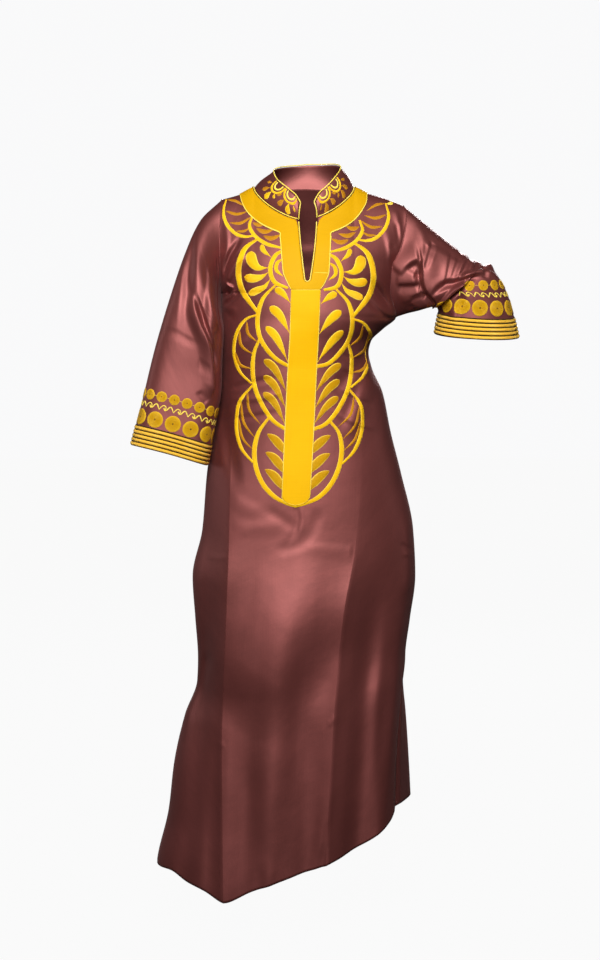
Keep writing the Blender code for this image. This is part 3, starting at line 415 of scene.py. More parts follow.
def wallY(x, z, isFront):
    # Depth of the front or back cloth at a place seen from the front
    right = body["right"](z) - (body["tuck"](z) if isFront else 0)
    left = body["left"](z)
    middle = (left + right) / 2
    s = np.minimum(np.abs(x - middle) / (right - left) * 2, 1)
    onRight = x > middle
    underarm = np.where(onRight, bodyCut["underarmRight"], bodyCut["underarmLeft"])
    side = edgeDepth(z, underarm)
    if isFront:
        side = np.where(onRight, np.maximum(side, body["seam"](z)), side)
    upper = smooth((z - underarm + 0.03) / 0.09)
    power = bodyCut["sectionPower"]
    bulge = (1 - s ** power) ** mix(1 / power, 0.85, upper)
    y = side + (body["front" if isFront else "back"](z) - side) * bulge
    if isFront:
        rise = foldSum(frontFolds, x, z) + linesRise(frontLines, x, z)
        rise = rise + creaseRise(x, z, ("leftCrease", "rightCrease"), creaseAmount["front"])
    else:
        rise = foldSum(backFolds, x, z) + linesRise(backLines, x, z)
        rise = rise + creaseRise(x, z, ("backLeft", "backRight"), creaseAmount["back"])
    reach = bodyCut["frontShoulder" if isFront else "backShoulder"]
    t = np.clip((ridgeHeight(x) - z) / reach, 0, 1)
    y = (y + rise * smooth((1 - s) / 0.1)) * np.sqrt(1 - (1 - t) ** 2)
    return -y if isFront else y


def wallPoint(x, z, lift, isFront=True):
    # A place on the front or back cloth, moved out along its normal
    x, z = np.broadcast_arrays(np.asarray(x, float), np.asarray(z, float))
    z = np.minimum(z, ridgeHeight(x) - bodyCut["seamGap"])
    step = 0.0015
    across = (wallY(x + step, z, isFront) - wallY(x - step, z, isFront)) / (2 * step)
    top = np.minimum(z + step, ridgeHeight(x))
    rise = (wallY(x, top, isFront) - wallY(x, z - step, isFront)) / (top - z + step)
    sign = 1 if isFront else -1
    normal = sign * unit(np.stack([across, -np.ones_like(x), rise], -1))
    place = np.stack([x, wallY(x, z, isFront), z], -1)
    return place + normal * np.asarray(lift)[..., None]


def neckFront(x):
    t = np.minimum(np.abs(x) / bodyCut["neckHalf"], 1)
    power = bodyCut["neckRound"]
    return bodyCut["neckLine"] - bodyCut["neckDrop"] * (1 - t ** power) ** (1 / power)


def neckBack(x):
    t = np.maximum(0, 1 - (x / bodyCut["neckHalf"]) ** 2)
    return ridgeHeight(x) - bodyCut["backNeckDrop"] * t ** 0.5


def slitHalf(z):
    square = bodyCut["slitBottom"] + bodyCut["slitRound"]
    t = np.clip((square - z) / bodyCut["slitRound"], 0, 1)
    return np.where(z >= square, slitTable(z), slitTable(square) * np.sqrt(1 - t * t))


def crowd(f, evenness):
    return mix(1 - np.cos(f * np.pi / 2), f, evenness)


def bodyHalf(isFront, isRight):
    # Columns of points from the side to the centre, from the hem up
    cut = bodyCut
    inner = cut["frontColumns" if isFront else "backColumns"]
    region = np.array([0] * (cut["sideColumns"] + 1) + [1] * inner)[:, None]
    f = np.array([i / cut["sideColumns"] for i in range(cut["sideColumns"] + 1)]
                 + [(i + 1) / inner for i in range(inner)])[:, None]
    side = "right" if isRight else "left"
    turn = 1 if isRight else -1
    fold = line[side + "Crease"] if isFront else line["back" + side.capitalize()]

    def across(z):
        edge = body[side](z) - (body["tuck"](z) if isFront and isRight else 0)
        centre = line["centre"](z) + (turn * slitHalf(z) if isFront else 0)
        outerPart = mix(edge, fold(z), crowd(f, 0.4))
        return np.where(region == 0, outerPart, mix(fold(z), centre, crowd(f, 0.25)))

    def settle(edge, start):
        z = np.full_like(f, start)
        for _ in range(12):
            z = edge(across(z))
        return z

    low = settle(hemFront if isFront else hemBack, -1.3)
    low[0] = cut["sideHem"][isRight]
    middle = settle(chestRow, -0.2)
    neck = neckFront if isFront else neckBack
    high = np.where(region == 0, settle(shoulderLine, -0.03), settle(neck, -0.03))
    down = (1 - np.arange(cut["lowerRows"]) / cut["lowerRows"]) ** cut["rowCrowding"]
    up = (1 - np.cos(np.arange(cut["upperRows"] + 1) * np.pi / cut["upperRows"])) / 2
    z = np.concatenate([mix(middle, low, down), mix(middle, high, up)], axis=1)
    x = across(z)
    y = wallY(x, z, isFront)
    if isRight and not isFront:
        share = np.where((region == 0) & (f < cut["tuckReach"]), (1 - f / cut["tuckReach"]) ** 2, 0)
        x = x - body["tuck"](z) * share
        y = y - body["seam"](z) * share
    return np.stack([x, y, z], -1)


# Sleeves: outer and inner edge of each ring, its depth in front and behind, its shift and its tilt
sleeveCut = {
    "columns": "outX outZ inX inZ front back shift drop",
    "rows": {"right": 205, "left": 160},
    "around": {"right": 230, "left": 200},
    "gap": 0.0006,
    "right": {
        "rings": (
            (0.0, -0.161, -0.03, -0.164, -0.212, 0.06, 0.06, 0.0, 0.0),
            (0.12, -0.2035, -0.072, -0.1626, -0.246, 0.069, 0.064, -0.012, 0.0),
            (0.3, -0.2306, -0.134, -0.1568, -0.29, 0.07, 0.066, -0.042, 0.0),
            (0.48, -0.2606, -0.224, -0.1595, -0.342, 0.068, 0.064, -0.052, 0.0),
            (0.64, -0.292, -0.329, -0.1615, -0.402, 0.065, 0.062, -0.052, 0.002),
            (0.82, -0.3145, -0.42, -0.172, -0.46, 0.065, 0.062, -0.054, 0.004),
            (1.0, -0.3378, -0.508, -0.189, -0.549, 0.068, 0.066, -0.054, 0.006),
        ),
        # start along, start angle, end along, end angle, rise, half width;
        # angle 90 is the front, 180 the inner edge
        "folds": (
            (0.05, 100.0, 0.55, 128.0, 0.006, 20.0),
            (0.1, 140.0, 0.62, 152.0, -0.007, 18.0),
            (0.15, 230.0, 0.7, 215.0, -0.007, 22.0),
            (0.3, 300.0, 0.85, 270.0, 0.006, 22.0),
        ),
        "length": 0.42,
        "flatness": 3.5,
        "girth": 0.4476,
        # points (share of the length, angle), rise, width of the left and right slope, fade at each end
        "lines": (
            (((0.16, 32), (0.26, 37), (0.34, 46), (0.405, 60), (0.505, 74), (0.61, 88)), -9, 40, 24, 0.3, 0.6),
            (((0.07, 116), (0.19, 131), (0.305, 142), (0.36, 154)), 10, 12, 62, 0.2, 0.3),
            (((0.034, 91), (0.055, 124), (0.205, 143), (0.29, 154)), -3.6, 7, 7, 0.2, 0.2),
            (((0.372, 66), (0.41, 82), (0.436, 99), (0.47, 117), (0.522, 129), (0.577, 136), (0.65, 139),
              (0.72, 138)), 8, 12, 34, 0.2, 0.2),
            (((0.352, 74), (0.38, 92), (0.408, 108), (0.446, 126), (0.5, 142), (0.57, 152)),
             -5.6, 14, 13, 0.2, 0.2),
            (((0.562, 8), (0.562, 33), (0.542, 65), (0.53, 88), (0.5, 108)), -0.9, 6, 12, 0.1, 0.3),
            (((0.58, 104), (0.576, 118), (0.57, 132)), -1.2, 12, 20, 0.3, 0.2),
            (((0.7, 114), (0.723, 124), (0.748, 136)), -1.8, 16, 14, 0.3, 0.2),
            # the hidden side
            (((0.06, 210), (0.22, 228), (0.4, 246), (0.56, 262)), -5, 12, 10, 0.2, 0.3),
            (((0.08, 230), (0.26, 250), (0.42, 272)), 4.4, 10, 10, 0.2, 0.3),
            (((0.37, 300), (0.4, 276), (0.44, 250), (0.5, 226), (0.54, 200)), -5.6, 6, 10, 0.2, 0.2),
            (((0.4, 296), (0.432, 270), (0.474, 244), (0.54, 222)), 5, 6, 12, 0.2, 0.2),
            (((0.34, 280), (0.366, 254), (0.41, 230), (0.48, 206)), 4, 6, 7, 0.2, 0.2),
            (((0.62, 300), (0.6, 262), (0.584, 230)), -3.6, 8, 7, 0.3, 0.3),
            (((0.56, 330), (0.64, 306), (0.73, 282)), 3, 14, 14, 0.3, 0.3),
        ),
    },
    "left": {
        "rings": (
            (0.0, 0.195, -0.042, 0.182, -0.26, 0.06, 0.06, 0.0, 0.0),
            (0.14, 0.236, -0.075, 0.205, -0.2525, 0.068, 0.066, -0.002, 0.0),
            (0.28, 0.278, -0.109, 0.226, -0.2475, 0.072, 0.07, -0.004, 0.0),
            (0.42, 0.312, -0.134, 0.243, -0.2425, 0.074, 0.072, -0.006, 0.0),
            (0.54, 0.338, -0.15, 0.254, -0.24, 0.075, 0.073, -0.007, 0.0),
            (0.66, 0.361, -0.158, 0.262, -0.241, 0.075, 0.073, -0.008, -0.001),
            (0.76, 0.385, -0.185, 0.265, -0.247, 0.074, 0.072, -0.008, -0.003),
            (0.86, 0.402, -0.218, 0.264, -0.257, 0.072, 0.071, -0.008, -0.005),
            (0.93, 0.414, -0.258, 0.261, -0.273, 0.072, 0.07, -0.008, -0.007),
            (1.0, 0.424, -0.299, 0.258, -0.291, 0.073, 0.071, -0.008, -0.009),
        ),
        "folds": (
            (0.05, 50.0, 0.55, 35.0, -0.006, 16.0),
            (0.3, 120.0, 0.74, 60.0, -0.008, 18.0),
            (0.45, 90.0, 0.8, 20.0, 0.006, 18.0),
            (0.55, 110.0, 0.86, 120.0, -0.006, 20.0),
            (0.1, 150.0, 0.6, 150.0, 0.005, 20.0),
            (0.15, 240.0, 0.74, 290.0, -0.008, 22.0),
            (0.45, 215.0, 0.84, 225.0, 0.006, 22.0),
        ),
        "length": 0.27,
        "flatness": 2.25,
        "girth": 0.4698,
        "lines": (
            # the big puff's edge over a dark hollow, and the puff that hangs over the cuff
            (((0.05, 50), (0.3, 43), (0.55, 35)), 4.5, 21, 21, 0.2, 0.2),
            (((0.13, 62), (0.16, 78), (0.184, 94), (0.226, 109), (0.325, 122), (0.5, 140), (0.56, 160)),
             7.5, 5, 44, 0.2, 0.2),
            (((0.14, 84), (0.16, 100), (0.2, 114), (0.3, 130), (0.48, 150)), -4.4, 14, 5, 0.2, 0.2),
            (((0.61, 172), (0.612, 150), (0.622, 126), (0.624, 109), (0.63, 92), (0.622, 75), (0.6, 56)),
             9.5, 4, 32, 0.15, 0.2),
            (((0.64, 172), (0.64, 150), (0.648, 126), (0.65, 109), (0.654, 92), (0.646, 75), (0.626, 60)),
             -4, 14, 3, 0.15, 0.3),
            (((0.202, 44), (0.202, 62), (0.196, 78), (0.19, 92)), -2.6, 6, 10, 0.1, 0.2),
            (((0.214, 46), (0.216, 64), (0.21, 80)), 0.8, 8, 12, 0.1, 0.3),
            (((0.17, 56), (0.174, 72), (0.16, 84)), -1.4, 8, 10, 0.1, 0.2),
            (((0.186, 54), (0.188, 70), (0.18, 86)), 0.8, 8, 8, 0.1, 0.3),
            (((0.04, 104), (0.07, 92), (0.106, 83), (0.145, 78)), 4.2, 8, 30, 0.2, 0.2),
            (((0.096, 100), (0.118, 90), (0.146, 92), (0.16, 106)), -5, 14, 10, 0.2, 0.2),
            (((0.03, 112), (0.09, 110), (0.16, 106)), 2.2, 9, 20, 0.2, 0.2),
            (((0.04, 118), (0.115, 117), (0.19, 114)), -3.8, 16, 8, 0.2, 0.1),
            (((0.05, 140), (0.128, 132), (0.215, 125), (0.292, 125)), 2.4, 10, 22, 0.2, 0.2),
            (((0.12, 135), (0.19, 128), (0.25, 126), (0.302, 130)), -3, 14, 8, 0.2, 0.2),
            (((0.083, 154), (0.158, 150), (0.318, 166)), -2.6, 14, 12, 0.3, 0.2),
            (((0.64, 108), (0.72, 120), (0.8, 124), (0.87, 126), (0.95, 126)), 4.5, 24, 12, 0.2, 0.2),
            (((0.34, 36), (0.367, 65), (0.403, 88), (0.438, 107)), -1.8, 9, 16, 0.2, 0.2),
            (((0.372, 44), (0.396, 68), (0.424, 90)), 0.6, 10, 10, 0.2, 0.3),
            (((0.406, 36), (0.427, 69), (0.46, 90)), -1.7, 9, 13, 0.2, 0.2),
            (((0.44, 30), (0.456, 56), (0.48, 78)), 0.9, 10, 10, 0.2, 0.3),
            (((0.474, 30), (0.49, 56), (0.52, 90)), -2.4, 9, 12, 0.2, 0.2),
            (((0.51, 26), (0.53, 50), (0.566, 64)), 2, 10, 12, 0.2, 0.2),
            (((0.56, 20), (0.58, 44), (0.606, 58)), -2.4, 9, 10, 0.2, 0.2),
            (((0.598, 63), (0.612, 80), (0.614, 95)), -2.1, 6, 7, 0.2, 0.3),
            (((0.64, 30), (0.68, 48), (0.715, 54)), -4.4, 8, 10, 0.2, 0.2),
            # bumps along the upper edge
            (((0.398, -34), (0.404, 10), (0.412, 34)), -2.2, 8, 8, 0.3, 0.3),
            (((0.486, -34), (0.49, 6), (0.496, 30)), -4.6, 7, 9, 0.3, 0.3),
            (((0.618, -40), (0.622, 6), (0.63, 30)), -9, 10, 7, 0.3, 0.3),
            (((0.664, -36), (0.668, 6), (0.676, 30)), 5, 8, 16, 0.3, 0.3),
            # the hidden side
            (((0.612, 186), (0.622, 220), (0.618, 262), (0.606, 304)), 8, 28, 5, 0.1, 0.3),
            (((0.13, 300), (0.18, 264), (0.24, 236), (0.36, 214)), -5.6, 8, 10, 0.2, 0.3),
            (((0.17, 310), (0.226, 270), (0.29, 242), (0.42, 222)), 6, 6, 16, 0.2, 0.3),
            (((0.1, 250), (0.18, 236), (0.26, 214)), 4, 8, 10, 0.2, 0.3),
            (((0.36, 312), (0.39, 280), (0.42, 250)), -4, 8, 6, 0.2, 0.3),
            (((0.44, 318), (0.464, 284), (0.49, 256)), -4.6, 7, 6, 0.2, 0.3),
            (((0.5, 322), (0.53, 290), (0.56, 262)), 4, 7, 7, 0.2, 0.3),
        ),
    },
}


class SleeveForm:
    # One sleeve's surface: angle 0 is the outer edge, 90 the front, 180 the inner edge

    def __init__(self, side, frontEdge, backEdge):
        cut = sleeveCut[side]
        self.curve = curves(sleeveCut["columns"], cut["rings"])
        self.folds = cut["folds"]
        self.flatness = cut["flatness"]
        self.length, self.girth = cut["length"], cut["girth"]
        self.lines = foldLines(cut["lines"], (self.length, self.girth / 360), 0.006)
        shift = sleeveCut["gap"] * (1 if side == "left" else -1)
        top = (frontEdge[-1] + backEdge[-1]) / 2
        under = (frontEdge[0] + backEdge[0]) / 2
        ring = [top] + list(frontEdge[-2:0:-1]) + [under] + list(backEdge[1:-1]) + [top]
        self.ring = np.array(ring) + np.array([shift, 0, 0])
        self.ringAngles = np.linspace(0, 360, len(ring))
        # how far each line of the sleeve is from the cuff, so that trims keep their height all round
        stations = np.linspace(0, 1, 241)
        t, a = np.meshgrid(stations, np.linspace(0, 360, 73), indexing="ij")
        plain = self.place(t, a, 0.0, False)
        steps = np.linalg.norm(np.diff(plain, axis=0), axis=-1)
        fromCuff = np.concatenate([np.cumsum(steps[::-1], axis=0)[::-1], np.zeros((1, 73))])
        self.heights = np.linspace(0, 0.13, 66)
        self.atHeight = np.stack([np.interp(-self.heights, -fromCuff[:, i], stations) for i in range(73)], 1)
        lap = self.place(np.full(361, 0.94), np.arange(361.0), 0.0, False)
        self.lap = distances(lap)

    def oval(self, t, angle):
        c = self.curve
        turn = np.radians(angle)
        outer = np.stack([c["outX"](t), 0 * t, c["outZ"](t)], -1)
        inner = np.stack([c["inX"](t), 0 * t, c["inZ"](t)], -1)
        middle = (outer + inner) / 2
        point = middle + (outer - middle) * np.cos(turn)[..., None]
        # the front of a sleeve hangs flatter than an oval
        flat = np.where(angle % 360 > 90, t / 0.2, (t - 0.3) / 0.3)
        power = mix(2.0, self.flatness, smooth(flat))
        height = (1 - np.minimum(np.abs(np.cos(turn)), 1) ** power) ** (1 / power) * np.sign(np.sin(turn))
        height = np.where(angle % 360 <= 180, height * c["front"](t), np.sin(turn) * c["back"](t))
        point[..., 1] = c["shift"](t) - height
        point[..., 2] += c["drop"](t) * np.abs(np.sin(turn))
        middle[..., 1] = c["shift"](t)
        return point, middle

    def place(self, t, angle, lift, folded=True):
        t, angle = np.broadcast_arrays(np.asarray(t, float), np.asarray(angle, float))
        angle = angle % 360
        point, middle = self.oval(t, angle)
        start = self.oval(np.zeros_like(t), angle)[0]
        edge = np.stack([np.interp(angle, self.ringAngles, self.ring[:, k]) for k in range(3)], -1)
        point = point + (edge - start) * (1 - smooth(t / 0.16))[..., None]
        rise = np.zeros_like(t) + lift
        if folded:
            for startT, startA, endT, endA, height, width in self.folds:
                along = (t - startT) / (endT - startT)
                across = (angle - mix(startA, endA, along) + 180) % 360 - 180
                across = np.clip(across / width, -1, 1)
                fade = smooth(along / 0.3) * smooth((1 - along) / 0.3)
                rise = rise + height * fade * np.cos(across * np.pi / 2) ** 2
            rise = rise + linesRise(self.lines, t * self.length, angle * self.girth / 360, self.girth)
        return point + unit(point - middle) * rise[..., None]

    def along(self, around, up):
        # Share of the sleeve's length at a place on the cuff
        angle = np.interp(around % self.lap[-1], self.lap, np.arange(361.0))
        return np.interp(up, self.heights, self.atHeight[:, min(int(angle / 5.0), 71)])

    def trim(self, around, up, lift):
        # around: metres round the cuff from the outer edge; up: metres from the cuff's edge
        around, up = np.broadcast_arrays(np.asarray(around, float), np.asarray(up, float))
        angle = np.interp(around % self.lap[-1], self.lap, np.arange(361.0))
        column = np.clip(angle / 5.0, 0, 71.999)
        row = np.clip(up / self.heights[1], 0, len(self.heights) - 1.001)
        i, k = column.astype(int), row.astype(int)
        f, g = column - i, row - k
        table = self.atHeight
        t = mix(mix(table[k, i], table[k, i + 1], f), mix(table[k + 1, i], table[k + 1, i + 1], f), g)
        return self.place(t, angle, lift)


# Meshes from grids of points
def gridFaces(grids):
    # Each grid is (points, across, along), the last two for the UV map; a spare column in them closes the grid
    verts, faces, uvs, counts = [], [], [], []
    for points, u, v in grids:
        base, before = len(verts), len(faces)
        columns, rows = points.shape[:2]
        around = len(u) > columns
        u, v = u.tolist(), v.tolist()
        verts.extend(points.reshape(-1, 3).tolist())
        for i in range(columns if around else columns - 1):
            here, there = base + i * rows, base + (i + 1) % columns * rows
            for k in range(rows - 1):
                faces.append((here + k, there + k, there + k + 1, here + k + 1))
                uvs.extend((u[i][k], v[i][k], u[i + 1][k], v[i + 1][k],
                            u[i + 1][k + 1], v[i + 1][k + 1], u[i][k + 1], v[i][k + 1]))
        counts.append(len(faces) - before)
    return verts, faces, uvs, counts


def newMesh(name, verts, faces, uvs):
    data = bpy.data.meshes.new(name)
    data.from_pydata(verts, [], faces)
    data.uv_layers.new(name="cloth").data.foreach_set("uv", np.array(uvs, np.float32))
    return data


def facing(faces, outward):
    return sum(f.normal.dot(Vector(outward(f.calc_center_median()))) * f.calc_area() for f in faces)


def gridMesh(name, grids, outward):
    data = newMesh(name, *gridFaces(grids)[:3])
    tidy = bmesh.new()
    tidy.from_mesh(data)
    bmesh.ops.remove_doubles(tidy, verts=tidy.verts, dist=0.00002)
    bmesh.ops.recalc_face_normals(tidy, faces=tidy.faces)
    if facing(tidy.faces, outward) < 0:
        bmesh.ops.reverse_faces(tidy, faces=tidy.faces)
    tidy.to_mesh(data)
    tidy.free()
    data.shade_smooth()
    return data


def arcs(points, closed=False):
    # Distances across and along a grid of points, for its UV map
    around = np.concatenate([points, points[:1]]) if closed else points
    u = np.zeros(around.shape[:2])
    u[1:] = np.cumsum(np.linalg.norm(np.diff(around, axis=0), axis=-1), axis=0)
    v = np.zeros(around.shape[:2])
    v[:, 1:] = np.cumsum(np.linalg.norm(np.diff(around, axis=1), axis=-1), axis=1)
    return u, v


def addPiece(name, data, materials, nodes=(), thickness=0.0):
    piece = bpy.data.objects.new(name, data)
    bpy.context.scene.collection.objects.link(piece)
    for material in materials:
        data.materials.append(material)
    if thickness:
        bpy.ops.object.select_all(action="DESELECT")
        bpy.context.view_layer.objects.active = piece
        piece.select_set(True)
        wall = piece.modifiers.new("wall", "SOLIDIFY")
        wall.thickness = thickness
        wall.offset = -1.0
        bpy.ops.object.modifier_apply(modifier="wall")
        data.shade_smooth()
    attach(piece, "root")
    if nodes:
        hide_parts(*nodes)
    return piece


def frontwards(centre):
    return (0, -1, 0)


def backwards(centre):
    return (0, 1, 0)


def awayFrom(middle):
    return lambda centre: centre - Vector(middle)


# Ribbons, drops and cords of thread
def ribbonGrid(path, target, widths, wrap, height, lanes=6, sink=0.0002):
    # A flat path given a rounded width, then wrapped on to the cloth
    tangent = unit(np.gradient(path, axis=0))
    side = np.stack([-tangent[:, 1], tangent[:, 0]], -1)
    c = np.sin(np.linspace(-np.pi / 2, np.pi / 2, lanes + 1))
    flat = path[None] + side[None] * (widths[None, :, None] / 2) * c[:, None, None]
    shape = np.sqrt(np.maximum(0, 1 - c ** 2))[:, None]
    rise = height * np.minimum(1, widths / (4 * height))[None]
    lift = shape * rise - sink * (1 - shape)
    points = wrap(flat[..., 0], flat[..., 1], lift)
    u = np.broadcast_to((c[:, None] + 1) / 2, lift.shape)
    v = np.broadcast_to(target[None], lift.shape)
    return points, u, v


def strokeWidths(count, width, startShare, endShare):
    t = np.linspace(0, 1, count)
    return width * np.minimum(mix(startShare, 1, smooth(t / 0.3)), mix(endShare, 1, smooth((1 - t) / 0.3)))


def dropWidths(count, width, fullest=0.26):
    # Round head, fullest near it, and a fine tail
    t = np.linspace(0, 1, count)
    head = np.sqrt(np.clip(1 - ((fullest - t) / fullest) ** 2, 0.02, 1))
    tail = np.cos(np.clip((t - fullest) / (1 - fullest), 0, 1) * np.pi / 2) ** 1.3
    return width * np.where(t < fullest, head, np.maximum(tail, 0.08))


def leafWidths(count, width):
    t = np.linspace(0, 1, count)
    return width * np.maximum(np.sin(np.pi * t ** 0.85) ** 0.8, 0.06)


def cordGrid(path, radius, sides=8):
    # A round cord round a line of points in space
    tangent = unit(np.gradient(path, axis=0))
    level = unit(np.cross(tangent, np.array([0.0, 0.3, 1.0])))
    up = np.cross(level, tangent)
    turn = np.linspace(0, 2 * np.pi, sides, endpoint=False)[:, None, None]
    points = path[None] + radius * (np.cos(turn) * level[None] + np.sin(turn) * up[None])
    walked = distances(path)
    u = np.repeat(np.linspace(0, 1, sides + 1)[:, None], len(path), 1)
    return points, u, np.repeat(walked[None], sides + 1, 0)


# Finishes
class Finish:
    # A material, with short ways to add nodes and to feed them numbers, colours or each other

    def __init__(self, name):
        self.material = bpy.data.materials.new(name)
        self.material.use_nodes = True
        self.nodes, self.links = self.material.node_tree.nodes, self.material.node_tree.links
        self.shader = self.nodes["Principled BSDF"].inputs

    def feed(self, socket, value):
        if isinstance(value, (int, float)):
            socket.default_value = value
        elif isinstance(value, tuple):
            socket.default_value = (*value, 1.0)
        else:
            self.links.new(value, socket)

    def add(self, kind, output, inputs, **settings):
        node = self.nodes.new("ShaderNode" + kind)
        for name, value in settings.items():
            setattr(node, name, value)
        for socket, value in inputs.items():
            self.feed(node.inputs[socket], value)
        return node.outputs[output]

    def uv(self):
        return self.add("UVMap", "UV", {}, uv_map="cloth")

    def noise(self, vector, scale, detail=3.0, roughness=0.5):
        inputs = {"Vector": vector, "Scale": scale, "Detail": detail, "Roughness": roughness}
        return self.add("TexNoise", "Fac", inputs)

    def stretched(self, vector, scale):
        mapping = self.nodes.new("ShaderNodeMapping")
        mapping.inputs["Scale"].default_value = scale
        self.links.new(vector, mapping.inputs["Vector"])
        return mapping.outputs["Vector"]

    def ramp(self, value, stops):
        node = self.nodes.new("ShaderNodeValToRGB")
        elements = node.color_ramp.elements
        while len(elements) < len(stops):
            elements.new(0.5)
        for element, (place, colour) in zip(elements, stops):
            element.position = place
            element.color = (*colour, 1.0)
        self.links.new(value, node.inputs["Fac"])
        return node.outputs["Color"]

    def greys(self, value, *stops):
        return self.ramp(value, [(place, (grey,) * 3) for place, grey in stops])

    def blend(self, first, second, share, kind="MIX"):
        inputs = {6: first, 7: second, 0: share}
        return self.add("Mix", 2, inputs, data_type="RGBA", blend_type=kind, clamp_factor=True)

    def maths(self, kind, first, second=0.0):
        return self.add("Math", 0, {0: first, 1: second}, operation=kind)

    def bump(self, height, strength, distance, under=None):
        inputs = {"Height": height, "Strength": strength, "Distance": distance}
        if under:
            inputs["Normal"] = under
        normal = self.add("Bump", "Normal", inputs)
        self.links.new(normal, self.shader["Normal"])
        return normal

    def setShader(self, values):
        for socket, value in values.items():
            self.feed(self.shader[socket], value)
        return self.material


def clothFinish(settings):
    # Satin: warp and weft threads, faint slubs, soft crumples and a broad silky gloss
    finish = Finish(settings["name"])
    uv = finish.uv()
    cloud = finish.noise(uv, settings["cloudScale"], 4.0, 0.55)
    slub = finish.noise(finish.stretched(uv, (900, 9, 1)), 1.0, 2.0)
    weft = finish.noise(finish.stretched(uv, (14, 1100, 1)), 1.0, 2.0)
    colour = finish.ramp(cloud, settings["colours"])
    colour = finish.blend(colour, finish.greys(slub, (0.3, 0.75), (0.7, 1.0)), 0.2, "MULTIPLY")
    colour = finish.blend(colour, finish.greys(weft, (0.3, 0.8), (0.7, 1.0)), 0.3, "MULTIPLY")
    smoothest, roughest = settings["roughness"]
    gloss = finish.greys(cloud, (0.25, smoothest), (0.75, roughest))
    crumple = finish.noise(uv, settings["crumpleScale"], 3.0, 0.45)
    first = finish.bump(crumple, settings["crumple"], 0.01)
    finish.bump(finish.maths("ADD", slub, weft), settings["weave"], 0.0004, first)
    return finish.setShader({"Base Color": colour, "Roughness": gloss, **settings["shader"]})


brownSatinLook = {
    "name": "brownSatin",
    "cloudScale": 3.5,
    "colours": ((0.3, (0.205, 0.054, 0.045)), (0.5, (0.235, 0.063, 0.054)), (0.72, (0.27, 0.075, 0.066))),
    "roughness": (0.5, 0.58),
    "crumpleScale": 16.0,
    "crumple": 0.14,
    "weave": 0.25,
    "shader": {
        "Metallic": 0.74,
        "IOR": 1.5,
        "Coat Weight": 0.3,
        "Coat Roughness": 0.5,
        "Coat Tint": (1.0, 0.82, 0.85),
        "Sheen Weight": 0.06,
        "Sheen Roughness": 0.35,
        "Sheen Tint": (0.95, 0.6, 0.58),
    },
}
yellowSatinLook = {
    "name": "yellowSatin",
    "cloudScale": 5.0,
    "colours": ((0.3, (0.75, 0.405, 0.002)), (0.5, (0.81, 0.44, 0.002)), (0.72, (0.86, 0.475, 0.003))),
    "roughness": (0.48, 0.56),
    "crumpleScale": 22.0,
    "crumple": 0.08,
    "weave": 0.25,
    "shader": {
        "IOR": 1.45,
        "Specular IOR Level": 0.3,
        "Specular Tint": (1.0, 0.85, 0.2),
        "Sheen Weight": 0.03,
        "Sheen Roughness": 0.4,
        "Sheen Tint": (1.0, 0.9, 0.5),
    },
}
# the yoke faces the light more than the band does, so it gets a darker copy of the yellow: painted shade
yokeShadedSatinLook = dict(yellowSatinLook, name="yokeShadedSatin", colours=(
    (0.3, (0.57, 0.3, 0.002)), (0.5, (0.62, 0.33, 0.002)), (0.72, (0.68, 0.365, 0.003)),
))
threadLooks = {
    # stitch pitch and slant, painted groove shade, roughness, three colours, painted rim highlight (shade on
    # stripes) and its share
    "goldThread": (0.0011, 0.0006, 0.84, 0.42, (0.8, 0.42, 0.003), (0.92, 0.54, 0.005), (0.97, 0.64, 0.014),
        (1.0, 0.8, 0.12), 0.7),
    "amberThread": (0.001, 0.0005, 0.7, 0.42, (0.42, 0.15, 0.003), (0.54, 0.23, 0.004), (0.68, 0.33, 0.006),
        (0.84, 0.48, 0.03), 0.5),
    "paleThread": (0.0009, 0.0004, 0.78, 0.42, (0.92, 0.66, 0.05), (0.97, 0.76, 0.12), (1.0, 0.84, 0.22),
        (1.0, 0.86, 0.3), 0.4),
    "darkThread": (0.0009, 0.0, 0.6, 0.6, (0.012, 0.004, 0.003), (0.02, 0.007, 0.005), (0.03, 0.012, 0.009),
        (0.03, 0.01, 0.008), 0.3),
    "discThread": (0.0013, 0.0, 0.74, 0.42, (0.52, 0.27, 0.003), (0.62, 0.33, 0.004), (0.72, 0.4, 0.006),
        (0.84, 0.52, 0.02), 0.5),
    # darker gold for the lower chest drops and leaves: painted shade
    "shadedGoldThread": (0.001, 0.0005, 0.74, 0.42, (0.5, 0.24, 0.002), (0.6, 0.31, 0.003), (0.72, 0.4, 0.005),
        (1.0, 0.74, 0.08), 0.9),
    "stripeThread": (0.0019, 0.005, 0.82, 0.4, (0.88, 0.47, 0.02), (0.93, 0.56, 0.07), (0.97, 0.64, 0.12),
        (0.8, 0.36, 0.004), 0.6),
}


